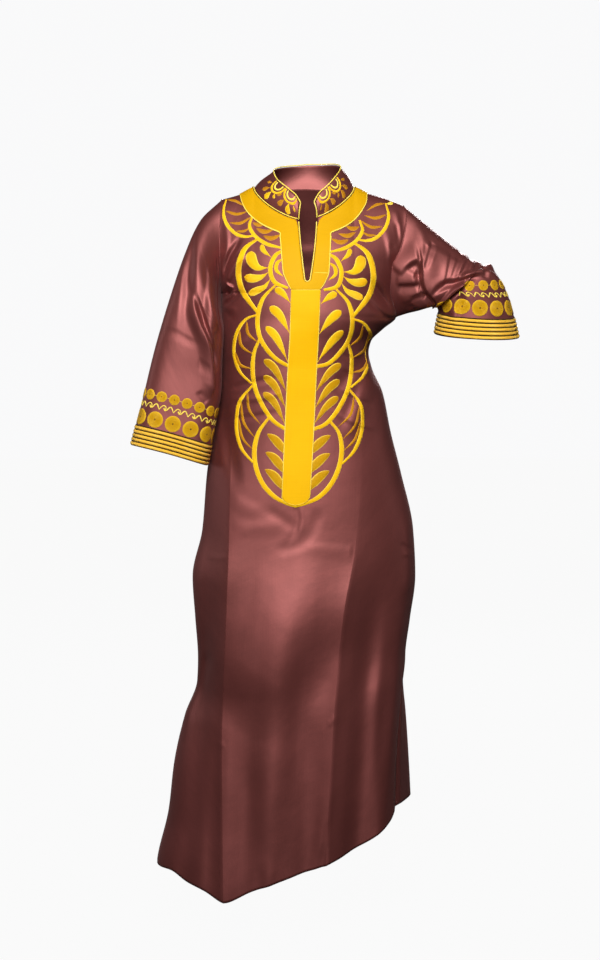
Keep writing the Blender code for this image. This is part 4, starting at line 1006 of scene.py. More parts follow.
def threadFinish(name):
    # Satin stitch: threads lie side by side across the shape; painted shade darkens the grooves between them,
    # and a painted rim colour stands for the light its rims catch
    pitch, slant, grooveShade, roughness, dull, plain, bright, paintedRimColour, paintedRimShare = threadLooks[name]
    finish = Finish(name)
    uv = finish.uv()
    across = finish.add("SeparateXYZ", 0, {0: uv})
    along = finish.add("SeparateXYZ", 1, {0: uv})
    wobble = finish.noise(finish.stretched(uv, (3, 240, 1)), 1.0, 2.0)
    slanted = finish.maths("ADD", along, finish.maths("MULTIPLY", across, slant))
    phase = finish.maths("MULTIPLY", slanted, 2 * math.pi / pitch)
    phase = finish.maths("ADD", phase, finish.maths("MULTIPLY", wobble, 3.0))
    ridges = finish.maths("ABSOLUTE", finish.maths("SINE", phase))
    rim = finish.maths("ABSOLUTE", finish.maths("SUBTRACT", finish.maths("MULTIPLY", across, 2.0), 1.0))
    cloud = finish.noise(finish.stretched(uv, (0.6, 30, 1)), 1.0, 3.0)
    base = finish.ramp(cloud, ((0.3, dull), (0.55, plain), (0.75, bright)))
    edge = finish.greys(rim, (0.7, 0.0), (0.95, 1.0))
    # painted highlight along the rims, and a painted shade on the stripes' rims
    colour = finish.blend(base, paintedRimColour, finish.maths("MULTIPLY", edge, paintedRimShare))
    # painted shade in the grooves between the threads
    colour = finish.blend(colour, finish.greys(ridges, (0.0, grooveShade), (0.55, 1.0)), 1.0, "MULTIPLY")
    finish.bump(ridges, 0.5, pitch * 0.4)
    return finish.setShader({
        "Base Color": colour, "Roughness": roughness, "Specular IOR Level": 0.4,
        "Specular Tint": (1.0, 0.85, 0.3), "Sheen Weight": 0.06, "Sheen Tint": (1.0, 0.85, 0.4),
    })


brownSatin, yellowSatin, yokeShadedSatin = map(clothFinish, (brownSatinLook, yellowSatinLook, yokeShadedSatinLook))
*threads, stripeThread = map(threadFinish, threadLooks)
gold, amber, pale, dark, ochre, shadedGold = range(6)
print("finishes made")


class Needlework:
    # Gathers strokes of thread for one piece, each with its own finish

    def __init__(self, wrap):
        self.wrap = wrap
        self.grids = []
        self.finishes = []

    def keep(self, grid, finish):
        self.grids.append(grid)
        self.finishes.append(finish)

    def stroke(self, points, width, finish=gold, ends=(0.5, 0.5), height=0.0011, spacing=0.0022, lift=0.0):
        path, target = smoothPath(points, spacing)
        widths = strokeWidths(len(path), width, *ends)
        wrap = lambda x, z, up: self.wrap(x, z, up + lift)
        self.keep(ribbonGrid(path, target, widths, wrap, height), finish)

    def drop(self, points, width, finish=gold, height=0.0012, fullest=0.26):
        path, target = smoothPath(points, 0.0018)
        self.keep(ribbonGrid(path, target, dropWidths(len(path), width, fullest), self.wrap, height, 8), finish)

    def leaf(self, points, width, finish=gold, height=0.001):
        path, target = smoothPath(points, 0.0018)
        self.keep(ribbonGrid(path, target, leafWidths(len(path), width), self.wrap, height), finish)

    def levelAt(self, x, z, step=0.006):
        # The change of place for a step in x and in z, turned into what makes a circle lie round on the cloth
        nearX, nearZ = np.array([x - step, x + step, x, x]), np.array([z, z, z - step, z + step])
        places = self.wrap(nearX, nearZ, np.zeros(4))
        alongX, alongZ = (places[1] - places[0]) / (2 * step), (places[3] - places[2]) / (2 * step)
        first = unit(alongX)
        second = unit(alongZ - first * alongZ.dot(first))
        axes = np.array([alongX, alongZ]).T
        return np.linalg.pinv(axes) @ np.array([first, second]).T

    def roundPlaces(self, centre, level, radii, turn):
        ring = np.stack([np.cos(turn), np.sin(turn)], -1)
        spots = (ring[:, None] * radii[None, :, None]) @ level.T
        return centre[0] + spots[..., 0], centre[1] + spots[..., 1]

    def disc(self, centre, radius, finish=ochre, height=0.0009):
        # Round of thread laid in rings, with a small dark middle and one thread across
        turn = np.linspace(0, 2 * np.pi, 28, endpoint=False)
        r = np.array([1.0, 0.97, 0.88, 0.72, 0.55, 0.38, 0.22, 0.1])
        level = self.levelAt(*centre)
        x, z = self.roundPlaces(centre, level, radius * r, turn)
        dome = np.array([-0.2, 0.75, 1.0, 1.0, 0.96, 0.92, 0.85, 0.7]) * height
        points = self.wrap(x, z, np.broadcast_to(dome, x.shape))
        u = np.broadcast_to(r * 0.5 + 0.5, (29, len(r)))
        v = np.broadcast_to(radius * r, (29, len(r)))
        self.keep((points, u, v), finish)
        hollow = np.array([0.11, 0.05, 0.005])
        x, z = self.roundPlaces(centre, level, radius * hollow, turn[::2])
        points = self.wrap(x, z, np.broadcast_to(np.array([0.74, 0.8, 0.8]) * height, x.shape))
        self.keep((points, np.broadcast_to(hollow, (15, 3)), np.broadcast_to(hollow * radius, (15, 3))), dark)
        across = [(centre[0] + radius * k, centre[1] + radius * 0.06 * k) for k in (-0.85, 0.0, 0.85)]
        self.stroke(across, 0.0006, amber, (0.6, 0.6), 0.0003, 0.003, 0.9 * height)

    def build(self, name, outward, nodes=(), finishes=threads):
        verts, faces, uvs, counts = gridFaces(self.grids)
        data = newMesh(name, verts, faces, uvs)
        data.polygons.foreach_set("material_index", np.repeat(self.finishes, counts).tolist())
        tidy = bmesh.new()
        tidy.from_mesh(data)
        tidy.faces.ensure_lookup_table()
        # each stroke is turned to face out by itself
        start = 0
        for count in counts:
            stroke = tidy.faces[start:start + count]
            start += count
            middle = sum((f.calc_center_median() for f in stroke), Vector()) / count
            if facing(stroke, outward or awayFrom(middle)) < 0:
                bmesh.ops.reverse_faces(tidy, faces=stroke)
        tidy.to_mesh(data)
        tidy.free()
        data.shade_smooth()
        return addPiece(name, data, finishes, nodes)


# Front and back of the body
frontHalves = [bodyHalf(True, False), bodyHalf(True, True)]
backHalves = [bodyHalf(False, False), bodyHalf(False, True)]


def bodyGrids(halves):
    grids = []
    for points, turn in zip(halves, (-1, 1)):
        # the way across is counted from the centre, where both halves meet
        grids.append((points, arcs(points[::-1])[0][::-1] * turn, arcs(points)[1]))
    return grids


front = addPiece("frontPanel", gridMesh("frontPanel", bodyGrids(frontHalves), frontwards),
                 [brownSatin], ["front"], thickness=bodyCut["cloth"])
back = addPiece("backPanel", gridMesh("backPanel", bodyGrids(backHalves), backwards),
                [brownSatin], ["back"], thickness=bodyCut["cloth"])
print("body made")

# Sleeves
upperRows = bodyCut["upperRows"]
sleeveForms = {}
for side, half in (("right", 0), ("left", 1)):
    form = SleeveForm(side, frontHalves[half][0][-upperRows - 1:], backHalves[half][0][-upperRows - 1:])
    sleeveForms[side] = form
    stations = np.linspace(0, 1, sleeveCut["rows"][side] + 1)
    angles = np.linspace(0, 360, sleeveCut["around"][side], endpoint=False)
    points = form.place(stations[None], angles[:, None], 0.0)
    middle = form.oval(np.array(0.5), np.array(0.0))[1]
    name = "sleeve" + side.capitalize()
    grid = (points, *arcs(points, True))
    addPiece(name, gridMesh(name, [grid], awayFrom(middle)), [brownSatin],
                                  ["sleeve_" + side], thickness=bodyCut["cloth"])
print("sleeves made")

# Collar
collarCut = {
    "columns": "left right",
    "top": (
        (12.0, -0.031, -0.029), (25.0, -0.022, -0.019), (40.0, -0.01, -0.006), (60.0, 0.003, 0.012),
        (90.0, 0.023, 0.031), (135.0, 0.036, 0.041), (180.0, 0.042, 0.042),
    ),
    "centre": (0.006, -0.01),
    "half": 0.066,
    "front": 0.063,
    "back": 0.062,
    "start": 12.0,
    "corner": 0.01,
    "gap": -0.0006,
    "bow": 0.004,
    "rows": 14,
}
collarTop = curves(collarCut["columns"], collarCut["top"])


def collarFoot():
    # The neck edge from the slit round the back to the slit, with each point's angle from the front
    half = bodyCut["neckHalf"]
    start = collarCut["start"]
    stations = []
    for side in (0, 1):
        frontEdge = frontHalves[side][bodyCut["sideColumns"]:, -1]
        backEdge = backHalves[side][bodyCut["sideColumns"]:, -1]
        first = math.acos(abs(frontEdge[-1][0]) / half)
        found = [(mix(90.0, start, math.acos(min(1, abs(p[0]) / half)) / first), side, p)
                 for p in frontEdge[:0:-1]]
        found.append((90.0, side, (frontEdge[0] + backEdge[0]) / 2))
        found += [(mix(90.0, 180.0, math.acos(min(1, abs(p[0]) / half)) / (math.pi / 2)), side, p)
                  for p in backEdge[1:]]
        stations.append(found)
    return stations[0][:-1] + [(180.0, 0, stations[0][-1][2])] + stations[1][:-1][::-1]


def collarPoints():
    cut = collarCut
    columns = []
    for angle, isRight, foot in collarFoot():
        a = math.radians(angle)
        depth = cut["front" if angle <= 90 else "back"]
        top = np.array([cut["centre"][0] + (1 if isRight else -1) * cut["half"] * math.sin(a),
                        cut["centre"][1] - depth * math.cos(a),
                        collarTop["right" if isRight else "left"](angle)])
        rise = top - foot
        length = np.linalg.norm(rise)
        nearFront = max(0, 1 - (angle - cut["start"]) / 14)
        rise = rise * (1 - cut["corner"] / length * nearFront ** 2)
        out = unit(np.array([foot[0], foot[1], 0.0]))
        t = np.linspace(0, 1, cut["rows"] + 1)[:, None]
        columns.append(foot + unit(rise) * cut["gap"] + rise * t + out * cut["bow"] * np.sin(t * np.pi))
    return np.array(columns)


collarGrid = collarPoints()
collarOut = lambda centre: (centre.x, centre.y, 0)
collar = addPiece("collarStand", gridMesh("collarStand", [(collarGrid, *arcs(collarGrid))], collarOut),
                  [brownSatin], ["collar"], thickness=bodyCut["cloth"])
print("collar made")

# Yoke, slit surround and centre band
yokeCut = {
    "neck": (
        (0.0965, -0.126, -0.0205, 0.123, -0.0175), (0.09, -0.12, -0.04, 0.122, -0.034),
        (0.08, -0.11, -0.058, 0.114, -0.052), (0.066, -0.094, -0.074, 0.101, -0.07),
        (0.05, -0.076, -0.086, 0.084, -0.084), (0.034, -0.06, -0.094, 0.066, -0.094),
    ),
    "slit": (
        (-0.073, -0.047, -0.1, 0.052, -0.1), (-0.095, -0.045, -0.12, 0.0505, -0.12),
        (-0.12, -0.0435, -0.14, 0.0495, -0.14), (-0.145, -0.042, -0.158, 0.0485, -0.158),
        (-0.168, -0.04, -0.176, 0.047, -0.177), (-0.186, -0.032, -0.196, 0.039, -0.197),
        (-0.1915, -0.025, -0.2085, 0.031, -0.2085),
    ),
    "bottom": -0.209,
    "inset": 0.0036,
    "neckSteps": 56,
    "slitSteps": 48,
    "strips": 12,
    "lift": 0.0019,
    "cloth": 0.001,
}
bandCut = {
    "sides": ((-0.209, -0.025, 0.031), (-0.285, -0.027, 0.028), (-0.36, -0.0315, 0.024),
              (-0.471, -0.037, 0.019), (-0.621, -0.0435, 0.0105)),
    "top": -0.2094,
    "square": -0.6,
    "tip": -0.621,
    "rows": 150,
    "tipRows": 14,
    "columns": 20,
}
yokeNeck = curves("leftX leftZ rightX rightZ", yokeCut["neck"])
yokeSlit = curves("leftX leftZ rightX rightZ", yokeCut["slit"])
bandSide = curves("left right", bandCut["sides"])


def yokeHalf(side):
    turn = 1 if side == "right" else -1
    cut = yokeCut
    half = bodyCut["neckHalf"]
    start = math.acos(cut["neck"][-1][0] / half)
    pairs = []
    for i in range(cut["neckSteps"]):
        inner = half * math.cos(start * (i / (cut["neckSteps"] - 1)) ** 1.5)
        outer = (yokeNeck[side + "X"](inner), yokeNeck[side + "Z"](inner))
        pairs.append(((turn * inner, float(neckFront(inner))), outer, cut["inset"]))
    for i in range(cut["slitSteps"]):
        z = mix(cut["slit"][0][0], cut["slit"][-1][0], math.sin(i / (cut["slitSteps"] - 1) * math.pi / 2))
        x = float(line["centre"](z) + turn * (slitHalf(z) + bodyCut["seamGap"]))
        outer = (yokeSlit[side + "X"](z), yokeSlit[side + "Z"](z))
        pairs.append(((x, z), outer, cut["inset"] * max(0, 1 - i / 4)))
    for share in (0.25, 0.5, 0.75, 1.0):
        low = cut["slit"][-1]
        outerX = mix(low[1] if turn < 0 else low[3], 0.003, share)
        bend = mix(0.35, 1, share) * math.pi / 2
        square = bodyCut["slitBottom"] + bodyCut["slitRound"]
        bottom = square - (bodyCut["slitRound"] + bodyCut["seamGap"]) * math.sin(bend)
        x = float(line["centre"](bottom)) + turn * float(slitHalf(square)) * math.cos(bend)
        pairs.append(((x, bottom), (outerX, cut["bottom"]), 0.0))
    inner = np.array([p[0] for p in pairs], float)
    outer = np.array([[float(q) for q in p[1]] for p in pairs])
    inset = np.array([p[2] for p in pairs])
    inner = inner + unit(outer - inner) * inset[:, None]
    return inner, outer


def yokeGrid(side):
    inner, outer = yokeHalf(side)
    share = np.linspace(0, 1, yokeCut["strips"] + 1)[None, :, None]
    flat = mix(inner[:, None], outer[:, None], share)
    points = wallPoint(flat[..., 0], flat[..., 1], np.full(flat.shape[:2], yokeCut["lift"]))
    return (points, *arcs(points))


def bandGrid():
    cut = bandCut
    rows = np.concatenate([np.linspace(cut["top"], cut["square"], cut["rows"] + 1),
                           np.linspace(cut["square"], cut["tip"], cut["tipRows"] + 1)[1:]])
    left, right = bandSide["left"](rows), bandSide["right"](rows)
    below = np.clip((cut["square"] - rows) / (cut["square"] - cut["tip"]), 0, 1)
    narrow = np.sqrt(np.maximum(0.004, 1 - below ** 2))
    c = np.linspace(-1, 1, cut["columns"] + 1)[:, None]
    x = (left + right) / 2 + (right - left) / 2 * narrow * c
    z = np.broadcast_to(rows, x.shape)
    points = wallPoint(x, z, np.full(x.shape, yokeCut["lift"]))
    return (points, *arcs(points))


# the yoke takes the darker copy of the yellow satin, painted shade
yoke = addPiece("yokePanel", gridMesh("yokePanel", [yokeGrid("left"), yokeGrid("right")], frontwards),
                [yokeShadedSatin], ["yoke"], yokeCut["cloth"])
band = addPiece("centreBand", gridMesh("centreBand", [bandGrid()], frontwards),
                [yellowSatin], ["centre_band"], yokeCut["cloth"])
print("yoke and band made")


# Stitching along the yoke and the band
stitchCut = {
    # width and height of each seam
    "yokeSeam": (0.0026, 0.0009),
    "bandSeam": (0.0022, 0.0008),
    "ends": (0.8, 0.8),
    "spacing": 0.002,
    "inset": 0.0006,
    # short seams below and beside the slit: points and width
    "shortSeams": (
        (((-0.0245, -0.2092), (0.003, -0.2094), (0.0305, -0.2092)), 0.0014),
        (((0.0195, -0.1765), (0.046, -0.1775)), 0.0016),
    ),
    "shortHeight": 0.0006,
    "shortSink": 0.0002,
    "sideInset": 0.0025,
    "waistInset": 0.0085,
    # height and reach of the fade into and out of the waist's own inset
    "waistLow": (-0.5, 0.06),
    "waistHigh": (-0.27, 0.04),
    "sink": 0.0004,
}


def frontWrap(x, z, lift):
    # Stitches stop short of the side seams, and further in at the waist on the garment's left
    (low, lowReach), (high, highReach) = stitchCut["waistLow"], stitchCut["waistHigh"]
    atWaist = smooth((z - low) / lowReach) * smooth((high - z) / highReach)
    left = body["left"](z) + stitchCut["sideInset"]
    right = body["right"](z) - body["tuck"](z) - mix(stitchCut["sideInset"], stitchCut["waistInset"], atWaist)
    return wallPoint(np.clip(x, left, right), z, lift)


edges = Needlework(frontWrap)


def sew(points, width, height, sink=stitchCut["sink"]):
    edges.stroke(points, width, pale, stitchCut["ends"], height, stitchCut["spacing"], yokeCut["lift"] - sink)


for side in ("left", "right"):
    inner, outer = yokeHalf(side)
    outline = outer[:-4][::2]
    outline = outline + unit(inner[:-4][::2] - outline) * stitchCut["inset"]
    sew(outline[:-1], *stitchCut["yokeSeam"])
for turn, name in ((-1, "left"), (1, "right")):
    rows = np.linspace(bandCut["top"] - 0.001, bandCut["square"], 14)
    points = list(zip(bandSide[name](rows) - turn * stitchCut["inset"], rows))
    middle = float(bandSide["left"](bandCut["tip"]) + bandSide["right"](bandCut["tip"])) / 2
    for t in (0.35, 0.7, 1.0):
        z = mix(bandCut["square"], bandCut["tip"], t)
        halfWidth = (bandSide["right"](z) - bandSide["left"](z)) / 2
        points.append((middle + turn * halfWidth * math.sqrt(max(0, 1 - t * t)), z + stitchCut["inset"]))
    sew(points, *stitchCut["bandSeam"])
for points, width in stitchCut["shortSeams"]:
    sew(points, width, stitchCut["shortHeight"], stitchCut["shortSink"])
edges.build("yokeStitching", frontwards)
print("yoke stitched")

# Neck and chest embroidery: half of it as distance from the band's axis and height, mirrored on the other side
chestMotifs = {
    "axis": ((-0.041, 0.0035), (-0.209, 0.0032), (-0.285, 0.0008), (-0.354, -0.0036), (-0.47, -0.0095),
             (-0.602, -0.0155), (-0.64, -0.0165)),
    "leftHalfDrop": -0.008,
    # the drop sets in at this distance from the axis, over this far
    "dropFromAxis": (0.02, 0.03),
    # and fades below this height, over this far, to this share
    "dropBelow": (-0.44, 0.05, 0.3),
    # points and width in millimetres, and for the lobes the start and end share of the width
    "lobes": (
        (((-156, -31), (-161, -56), (-154, -80), (-137, -99), (-118, -106), (-98, -104)), 7.2, 0.5, 0.5),
        (((-104, -66), (-109, -86), (-97, -106), (-75, -121), (-47, -129)), 7.6, 0.6, 0.6),
        (((-92, -110), (-119, -132), (-130, -172), (-122, -210), (-92, -251)), 11.5, 0.45, 0.6),
        (((-40, -133), (-58, -143), (-68, -168), (-60, -194), (-34, -206)), 9, 0.6, 0.6),
        (((-58, -200), (-82, -226), (-91, -262), (-86, -296), (-70, -322), (-50, -341), (-27, -354)),
         9.2, 0.5, 0.8),
        (((-91, -256), (-115, -266), (-131, -292), (-134, -328), (-121, -364), (-96, -388)), 7.2, 0.6, 0.6),
        (((-84, -300), (-94, -328), (-95, -362), (-88, -398), (-70, -434), (-50, -459), (-26, -475)),
         9.2, 0.6, 0.8),
        (((-94, -392), (-116, -420), (-122, -450), (-120, -484), (-108, -515), (-86, -539)), 7.6, 0.6, 0.6),
        (((-60, -454), (-77, -480), (-84, -512), (-80, -546), (-66, -578), (-44, -602), (-18, -617),
          (1, -623)), 9.8, 0.6, 0.5),
    ),
    "crescents": (
        (((-44, -150), (-55, -158), (-56, -172), (-43, -184)), 8),
    ),
    "drops": (
        (((-105, -135), (-104, -152), (-92, -166), (-71, -167)), 22),
        (((-85, -122), (-81, -134), (-66, -147)), 10.2),
        (((-118, -184), (-101, -187), (-85, -184), (-71, -175)), 17.2),
        (((-110, -217), (-96, -211), (-79, -203), (-67, -187)), 14.6),
        (((-59, -207), (-45, -215), (-29, -234)), 14),
        (((-68, -241), (-49, -257), (-28, -292)), 17.6),
        (((-74, -279), (-53, -300), (-28, -346)), 16.2),
    ),
    "lowDrops": (
        (((-74, -342), (-52, -360), (-27, -404)), 16),
        (((-73, -373), (-51, -392), (-27, -436)), 16),
        (((-72, -405), (-50, -424), (-27, -466)), 15.2),
    ),
    "leaves": (
        (((-61, -484), (-46, -494), (-31, -510), (-18, -527)), 17.6),
        (((-62, -519), (-46, -529), (-31, -546), (-18, -563)), 18.2),
        (((-62, -552), (-46, -562), (-31, -579), (-18, -596)), 18.2),
    ),
    "ribs": (
        (((-112, -268), (-108, -292), (-88, -309)), 6.2),
        (((-126, -283), (-120, -315), (-94, -333)), 6.2),
        (((-132, -326), (-120, -352), (-94, -360)), 6),
        (((-103, -402), (-98, -438), (-74, -467)), 5.6),
        (((-115, -420), (-108, -462), (-83, -494)), 5.6),
        (((-119, -452), (-109, -492), (-86, -516)), 5.6),
    ),
    "shoulderLeaves": (
        (((-154, -31), (-136, -35), (-118, -47)), 5.8),
        (((-157, -54), (-135, -61), (-113, -56)), 6.4),
        (((-148, -78), (-126, -79), (-105, -66)), 6.2),
        (((-136, -95), (-120, -95), (-108, -88)), 5.6),
        (((-103, -79), (-90, -83), (-76, -77)), 8.6),
        (((-96, -90), (-80, -97), (-62, -93)), 9),
        (((-82, -105), (-66, -110), (-48, -103)), 9.2),
    ),
    # the one small drop at the left shoulder: points and width in metres, as x and z
    "tip": (((0.1745, -0.0375), (0.168, -0.0385), (0.16, -0.04)), 0.0075),
}
axisX = tableCurve(chestMotifs["axis"], 1)
chest = Needlework(frontWrap)
# the lower drops and the leaves take a darker gold: painted shade
chestStitches = (
    ("crescents", chest.leaf, gold, {}), ("drops", chest.drop, gold, {"fullest": 0.22}),
    ("lowDrops", chest.drop, shadedGold, {"fullest": 0.2}), ("leaves", chest.leaf, shadedGold, {}),
    ("ribs", chest.leaf, amber, {}), ("shoulderLeaves", chest.leaf, amber, {}),
)
for turn in (-1, 1):
    drop = chestMotifs["leftHalfDrop"] if turn > 0 else 0.0

    def sideways(points):
        # the garment's left half hangs a little lower, less so near the axis and at the bottom
        nearest, reach = chestMotifs["dropFromAxis"]
        low, lowReach, lowShare = chestMotifs["dropBelow"]
        placed = []
        for u, z in np.array(points) * mm:
            lowered = smooth((abs(u) - nearest) / reach) * mix(1.0, lowShare, smooth((low - z) / lowReach))
            z = z + drop * lowered
            placed.append((float(axisX(z)) - turn * u, z))
        return placed

    for points, width, *ends in chestMotifs["lobes"]:
        chest.stroke(sideways(points), width * mm, gold, ends)
    for name, stitch, finish, options in chestStitches:
        for points, width in chestMotifs[name]:
            stitch(sideways(points), width * mm, finish, **options)
chest.drop(*chestMotifs["tip"], pale)
chest.build("chestEmbroidery", frontwards)
print("chest embroidered")


# Collar embroidery
collarMotifs = {
    "arcSpan": 0.03,
    "arcDepth": 0.018,
    "arcs": ((1.0, 0.0044), (0.62, 0.0036)),  # share of the full size, and width
    "fromTop": 0.0012,
    "headGap": 0.0025,
    "tailGap": 0.002,
    "bend": 0.0012,
    "starts": (0.01, 0.043),
    # turn from straight down, length and width of each petal, from the front edge backwards
    "petals": (
        ((-34, 0.01, 0.0054), (-6, 0.02, 0.01), (22, 0.018, 0.0088), (50, 0.011, 0.006)),
        ((-14, 0.01, 0.0054), (10, 0.021, 0.01), (36, 0.018, 0.0086), (64, 0.012, 0.006)),
    ),
}


def collarPlace(fromEdge, down, lift, side):
    # Bilinear place on the collar, from its front edge and down from its top edge, moved out
    top = collarGrid[:, -1] if side == "left" else collarGrid[::-1, -1]
    grid = collarGrid if side == "left" else collarGrid[::-1]
    walked = distances(top)
    column = np.interp(fromEdge, walked, np.arange(len(top)))
    i = np.clip(column.astype(int), 0, len(top) - 2)
    f = (column - i)[..., None]
    height = np.linalg.norm(mix(grid[i, -1], grid[i + 1, -1], f) - mix(grid[i, 0], grid[i + 1, 0], f), axis=-1)
    rows = grid.shape[1] - 1
    row = np.clip((1 - down / height) * rows, 0, rows - 0.001)
    k = row.astype(int)
    g = (row - k)[..., None]
    p00, p10 = grid[i, k], grid[i + 1, k]
    p01, p11 = grid[i, k + 1], grid[i + 1, k + 1]
    place = mix(mix(p00, p10, f), mix(p01, p11, f), g)
    normal = np.cross(p10 - p00, p01 - p00)
    away = np.stack([place[..., 0], place[..., 1], 0 * place[..., 0]], -1)
    normal = unit(normal) * np.sign(np.sum(normal * away, -1, keepdims=True))
    return place + normal * np.asarray(lift)[..., None]


for side in ("left", "right"):
    work = Needlework(lambda a, h, lift, s=side: collarPlace(a, h, lift, s))
    for start, petals in zip(collarMotifs["starts"], collarMotifs["petals"]):
        span, depth = collarMotifs["arcSpan"], collarMotifs["arcDepth"]
        middle = start + span / 2
        for (share, width), finish in zip(collarMotifs["arcs"], (gold, pale)):
            turn = np.linspace(0, np.pi, 9)
            halfSpan, low = span / 2 * share, depth * share
            arc = [(middle - halfSpan * math.cos(a), collarMotifs["fromTop"] + low * math.sin(a)) for a in turn]
            work.stroke(arc, width, finish, (0.8, 0.8), 0.0008, 0.0014)
        for number, (turned, length, width) in enumerate(petals):
            slope = math.radians(turned)
            way = np.array([math.sin(slope), math.cos(slope)])
            root = np.array([middle, 0.0])
            head = root + way * (depth + collarMotifs["headGap"] + length)
            tail = root + way * (depth + collarMotifs["tailGap"])
            bend = mix(head, tail, 0.5) + np.array([collarMotifs["bend"] * way[1], 0.0])
            # the darker amber on these drops stands in for shade: painted shade
            finish = gold if side == "left" and number < 2 else amber
            work.drop([head, bend, tail], width, finish, 0.0008)
    work.build("collarEmbroidery" + side.capitalize(), collarOut)
print("collar embroidered")

# Piping of the collar and neck, and the bound slit
pipingCut = {
    "radius": 0.0012,
    "darkRadius": 0.0008,
    "edge": 0.0007,
    "paleBeside": (0.0016, 0.002),  # distance from the neck seam, and lift
    "darkBeside": (0.0036, 0.0021),
    "slitTop": -0.078,
    "slitReach": 0.0015,
    "slitSink": 0.0008,
}


def pipePath(points, spacing=0.0022):
    return smoothPath(points, spacing)[0]


piping = Needlework(None)
rim = np.concatenate([collarGrid[0][:-1], collarGrid[:, -1], collarGrid[-1][:-1][::-1]])
level = unit(rim * np.array([1.0, 1.0, 0.0]))
heading = unit(np.gradient(rim, axis=0))
outOfEdge = unit(np.cross(heading, level))
collarLine = rim + outOfEdge * (pipingCut["radius"] + pipingCut["edge"]) - level * bodyCut["cloth"] / 2
piping.keep(cordGrid(pipePath(collarLine), pipingCut["radius"]), pale)
piping.build("collarPiping", None, ["collar_piping"])

foot = collarGrid[:, 0]
outward = unit(foot * np.array([1.0, 1.0, 0.0]))


def besideFoot(distance, lift):
    place = foot + outward * distance
    isFront = foot[:, 1] < 0
    onFront = wallPoint(place[:, 0], place[:, 2], np.full(len(place), lift), True)
    onBack = wallPoint(place[:, 0], place[:, 2], np.full(len(place), lift), False)
    return np.where(isFront[:, None], onFront, onBack)


neckLines = Needlework(None)
neckLines.keep(cordGrid(pipePath(besideFoot(*pipingCut["paleBeside"])), pipingCut["radius"]), pale)
neckLines.keep(cordGrid(pipePath(besideFoot(*pipingCut["darkBeside"])), pipingCut["darkRadius"]), dark)
neckLines.build("neckPiping", None, ["neck_piping"])

reach = pipingCut["slitReach"]
square = bodyCut["slitBottom"] + bodyCut["slitRound"]
heights = np.linspace(pipingCut["slitTop"], square, 24)


def slitSide(turn, rows):
    return [(float(line["centre"](z) + turn * (slitHalf(z) - reach)), z) for z in rows]


slitFoot = []
for a in np.linspace(0, np.pi, 12)[1:-1]:
    x = float(line["centre"](square)) - (float(slitHalf(square)) - reach) * math.cos(a)
    slitFoot.append((x, square - (bodyCut["slitRound"] - reach) * math.sin(a)))
slitLine = np.array(slitSide(-1, heights) + slitFoot + slitSide(1, heights[::-1]))
slitX, slitZ = slitLine[:, 0], slitLine[:, 1]
depthLine = np.stack([slitX, wallY(slitX, slitZ, True) - pipingCut["slitSink"], slitZ], -1)
binding = Needlework(None)
binding.keep(cordGrid(pipePath(depthLine, 0.0018), pipingCut["radius"]), pale)
binding.build("slitBinding", None, ["slit_binding"])
print("edges piped")

# Cuffs: five stitched stripes, and rows of discs with a running scroll between them
cuffCut = {
    "band": 0.04,
    "bandUp": 0.0012,
    "stripes": 5,
    "lapSteps": 160,
    # a stripe: places across it, its rise at each, its height, and its start and width as shares of the step
    "stripeAcross": (0.02, 0.08, 0.25, 0.5, 0.75, 0.92, 0.98),
    "stripeRise": (0.1, 0.55, 0.95, 1.1, 0.95, 0.55, 0.1),
    "stripeHeight": 0.0016,
    "stripeStart": 0.02,
    "stripeWidth": 0.74,
    "stripeLift": 0.0006,
    # the dark ground between two stripes: places in the step and its rise at each
    "groundAcross": (0.7, 0.78, 0.96, 1.06),
    "groundRise": (0.0004, 0.0009, 0.0009, 0.0004),
    "groundLift": 0.0002,
    # the scroll: a crest that curls over itself, then a low wave; share of the pitch and height, then width
    "scroll": (
        (((0.0, -0.0045), (0.1, 0.0005), (0.22, 0.0042), (0.36, 0.004), (0.44, 0.0008),
          (0.4, -0.0026), (0.31, -0.0022), (0.3, 0.0004)), 0.0022),
        (((0.31, 0.0004), (0.38, -0.004), (0.52, -0.0026), (0.66, 0.0032), (0.78, 0.0044),
          (0.88, 0.001), (1.0, -0.0045)), 0.0026),
    ),
    "bigDisc": 0.0158,
    "bigUp": 0.0585,
    "bigCount": 13,
    "scrollUp": 0.084,
    "smallDisc": 0.0104,
    "smallUp": 0.104,
    "smallCount": 18,
    "offset": {"right": (0.35, 0.35), "left": (0.13, 0.35)},
    "raised": {"right": 1.0, "left": 1.06},
    "puff": 0.635,
}


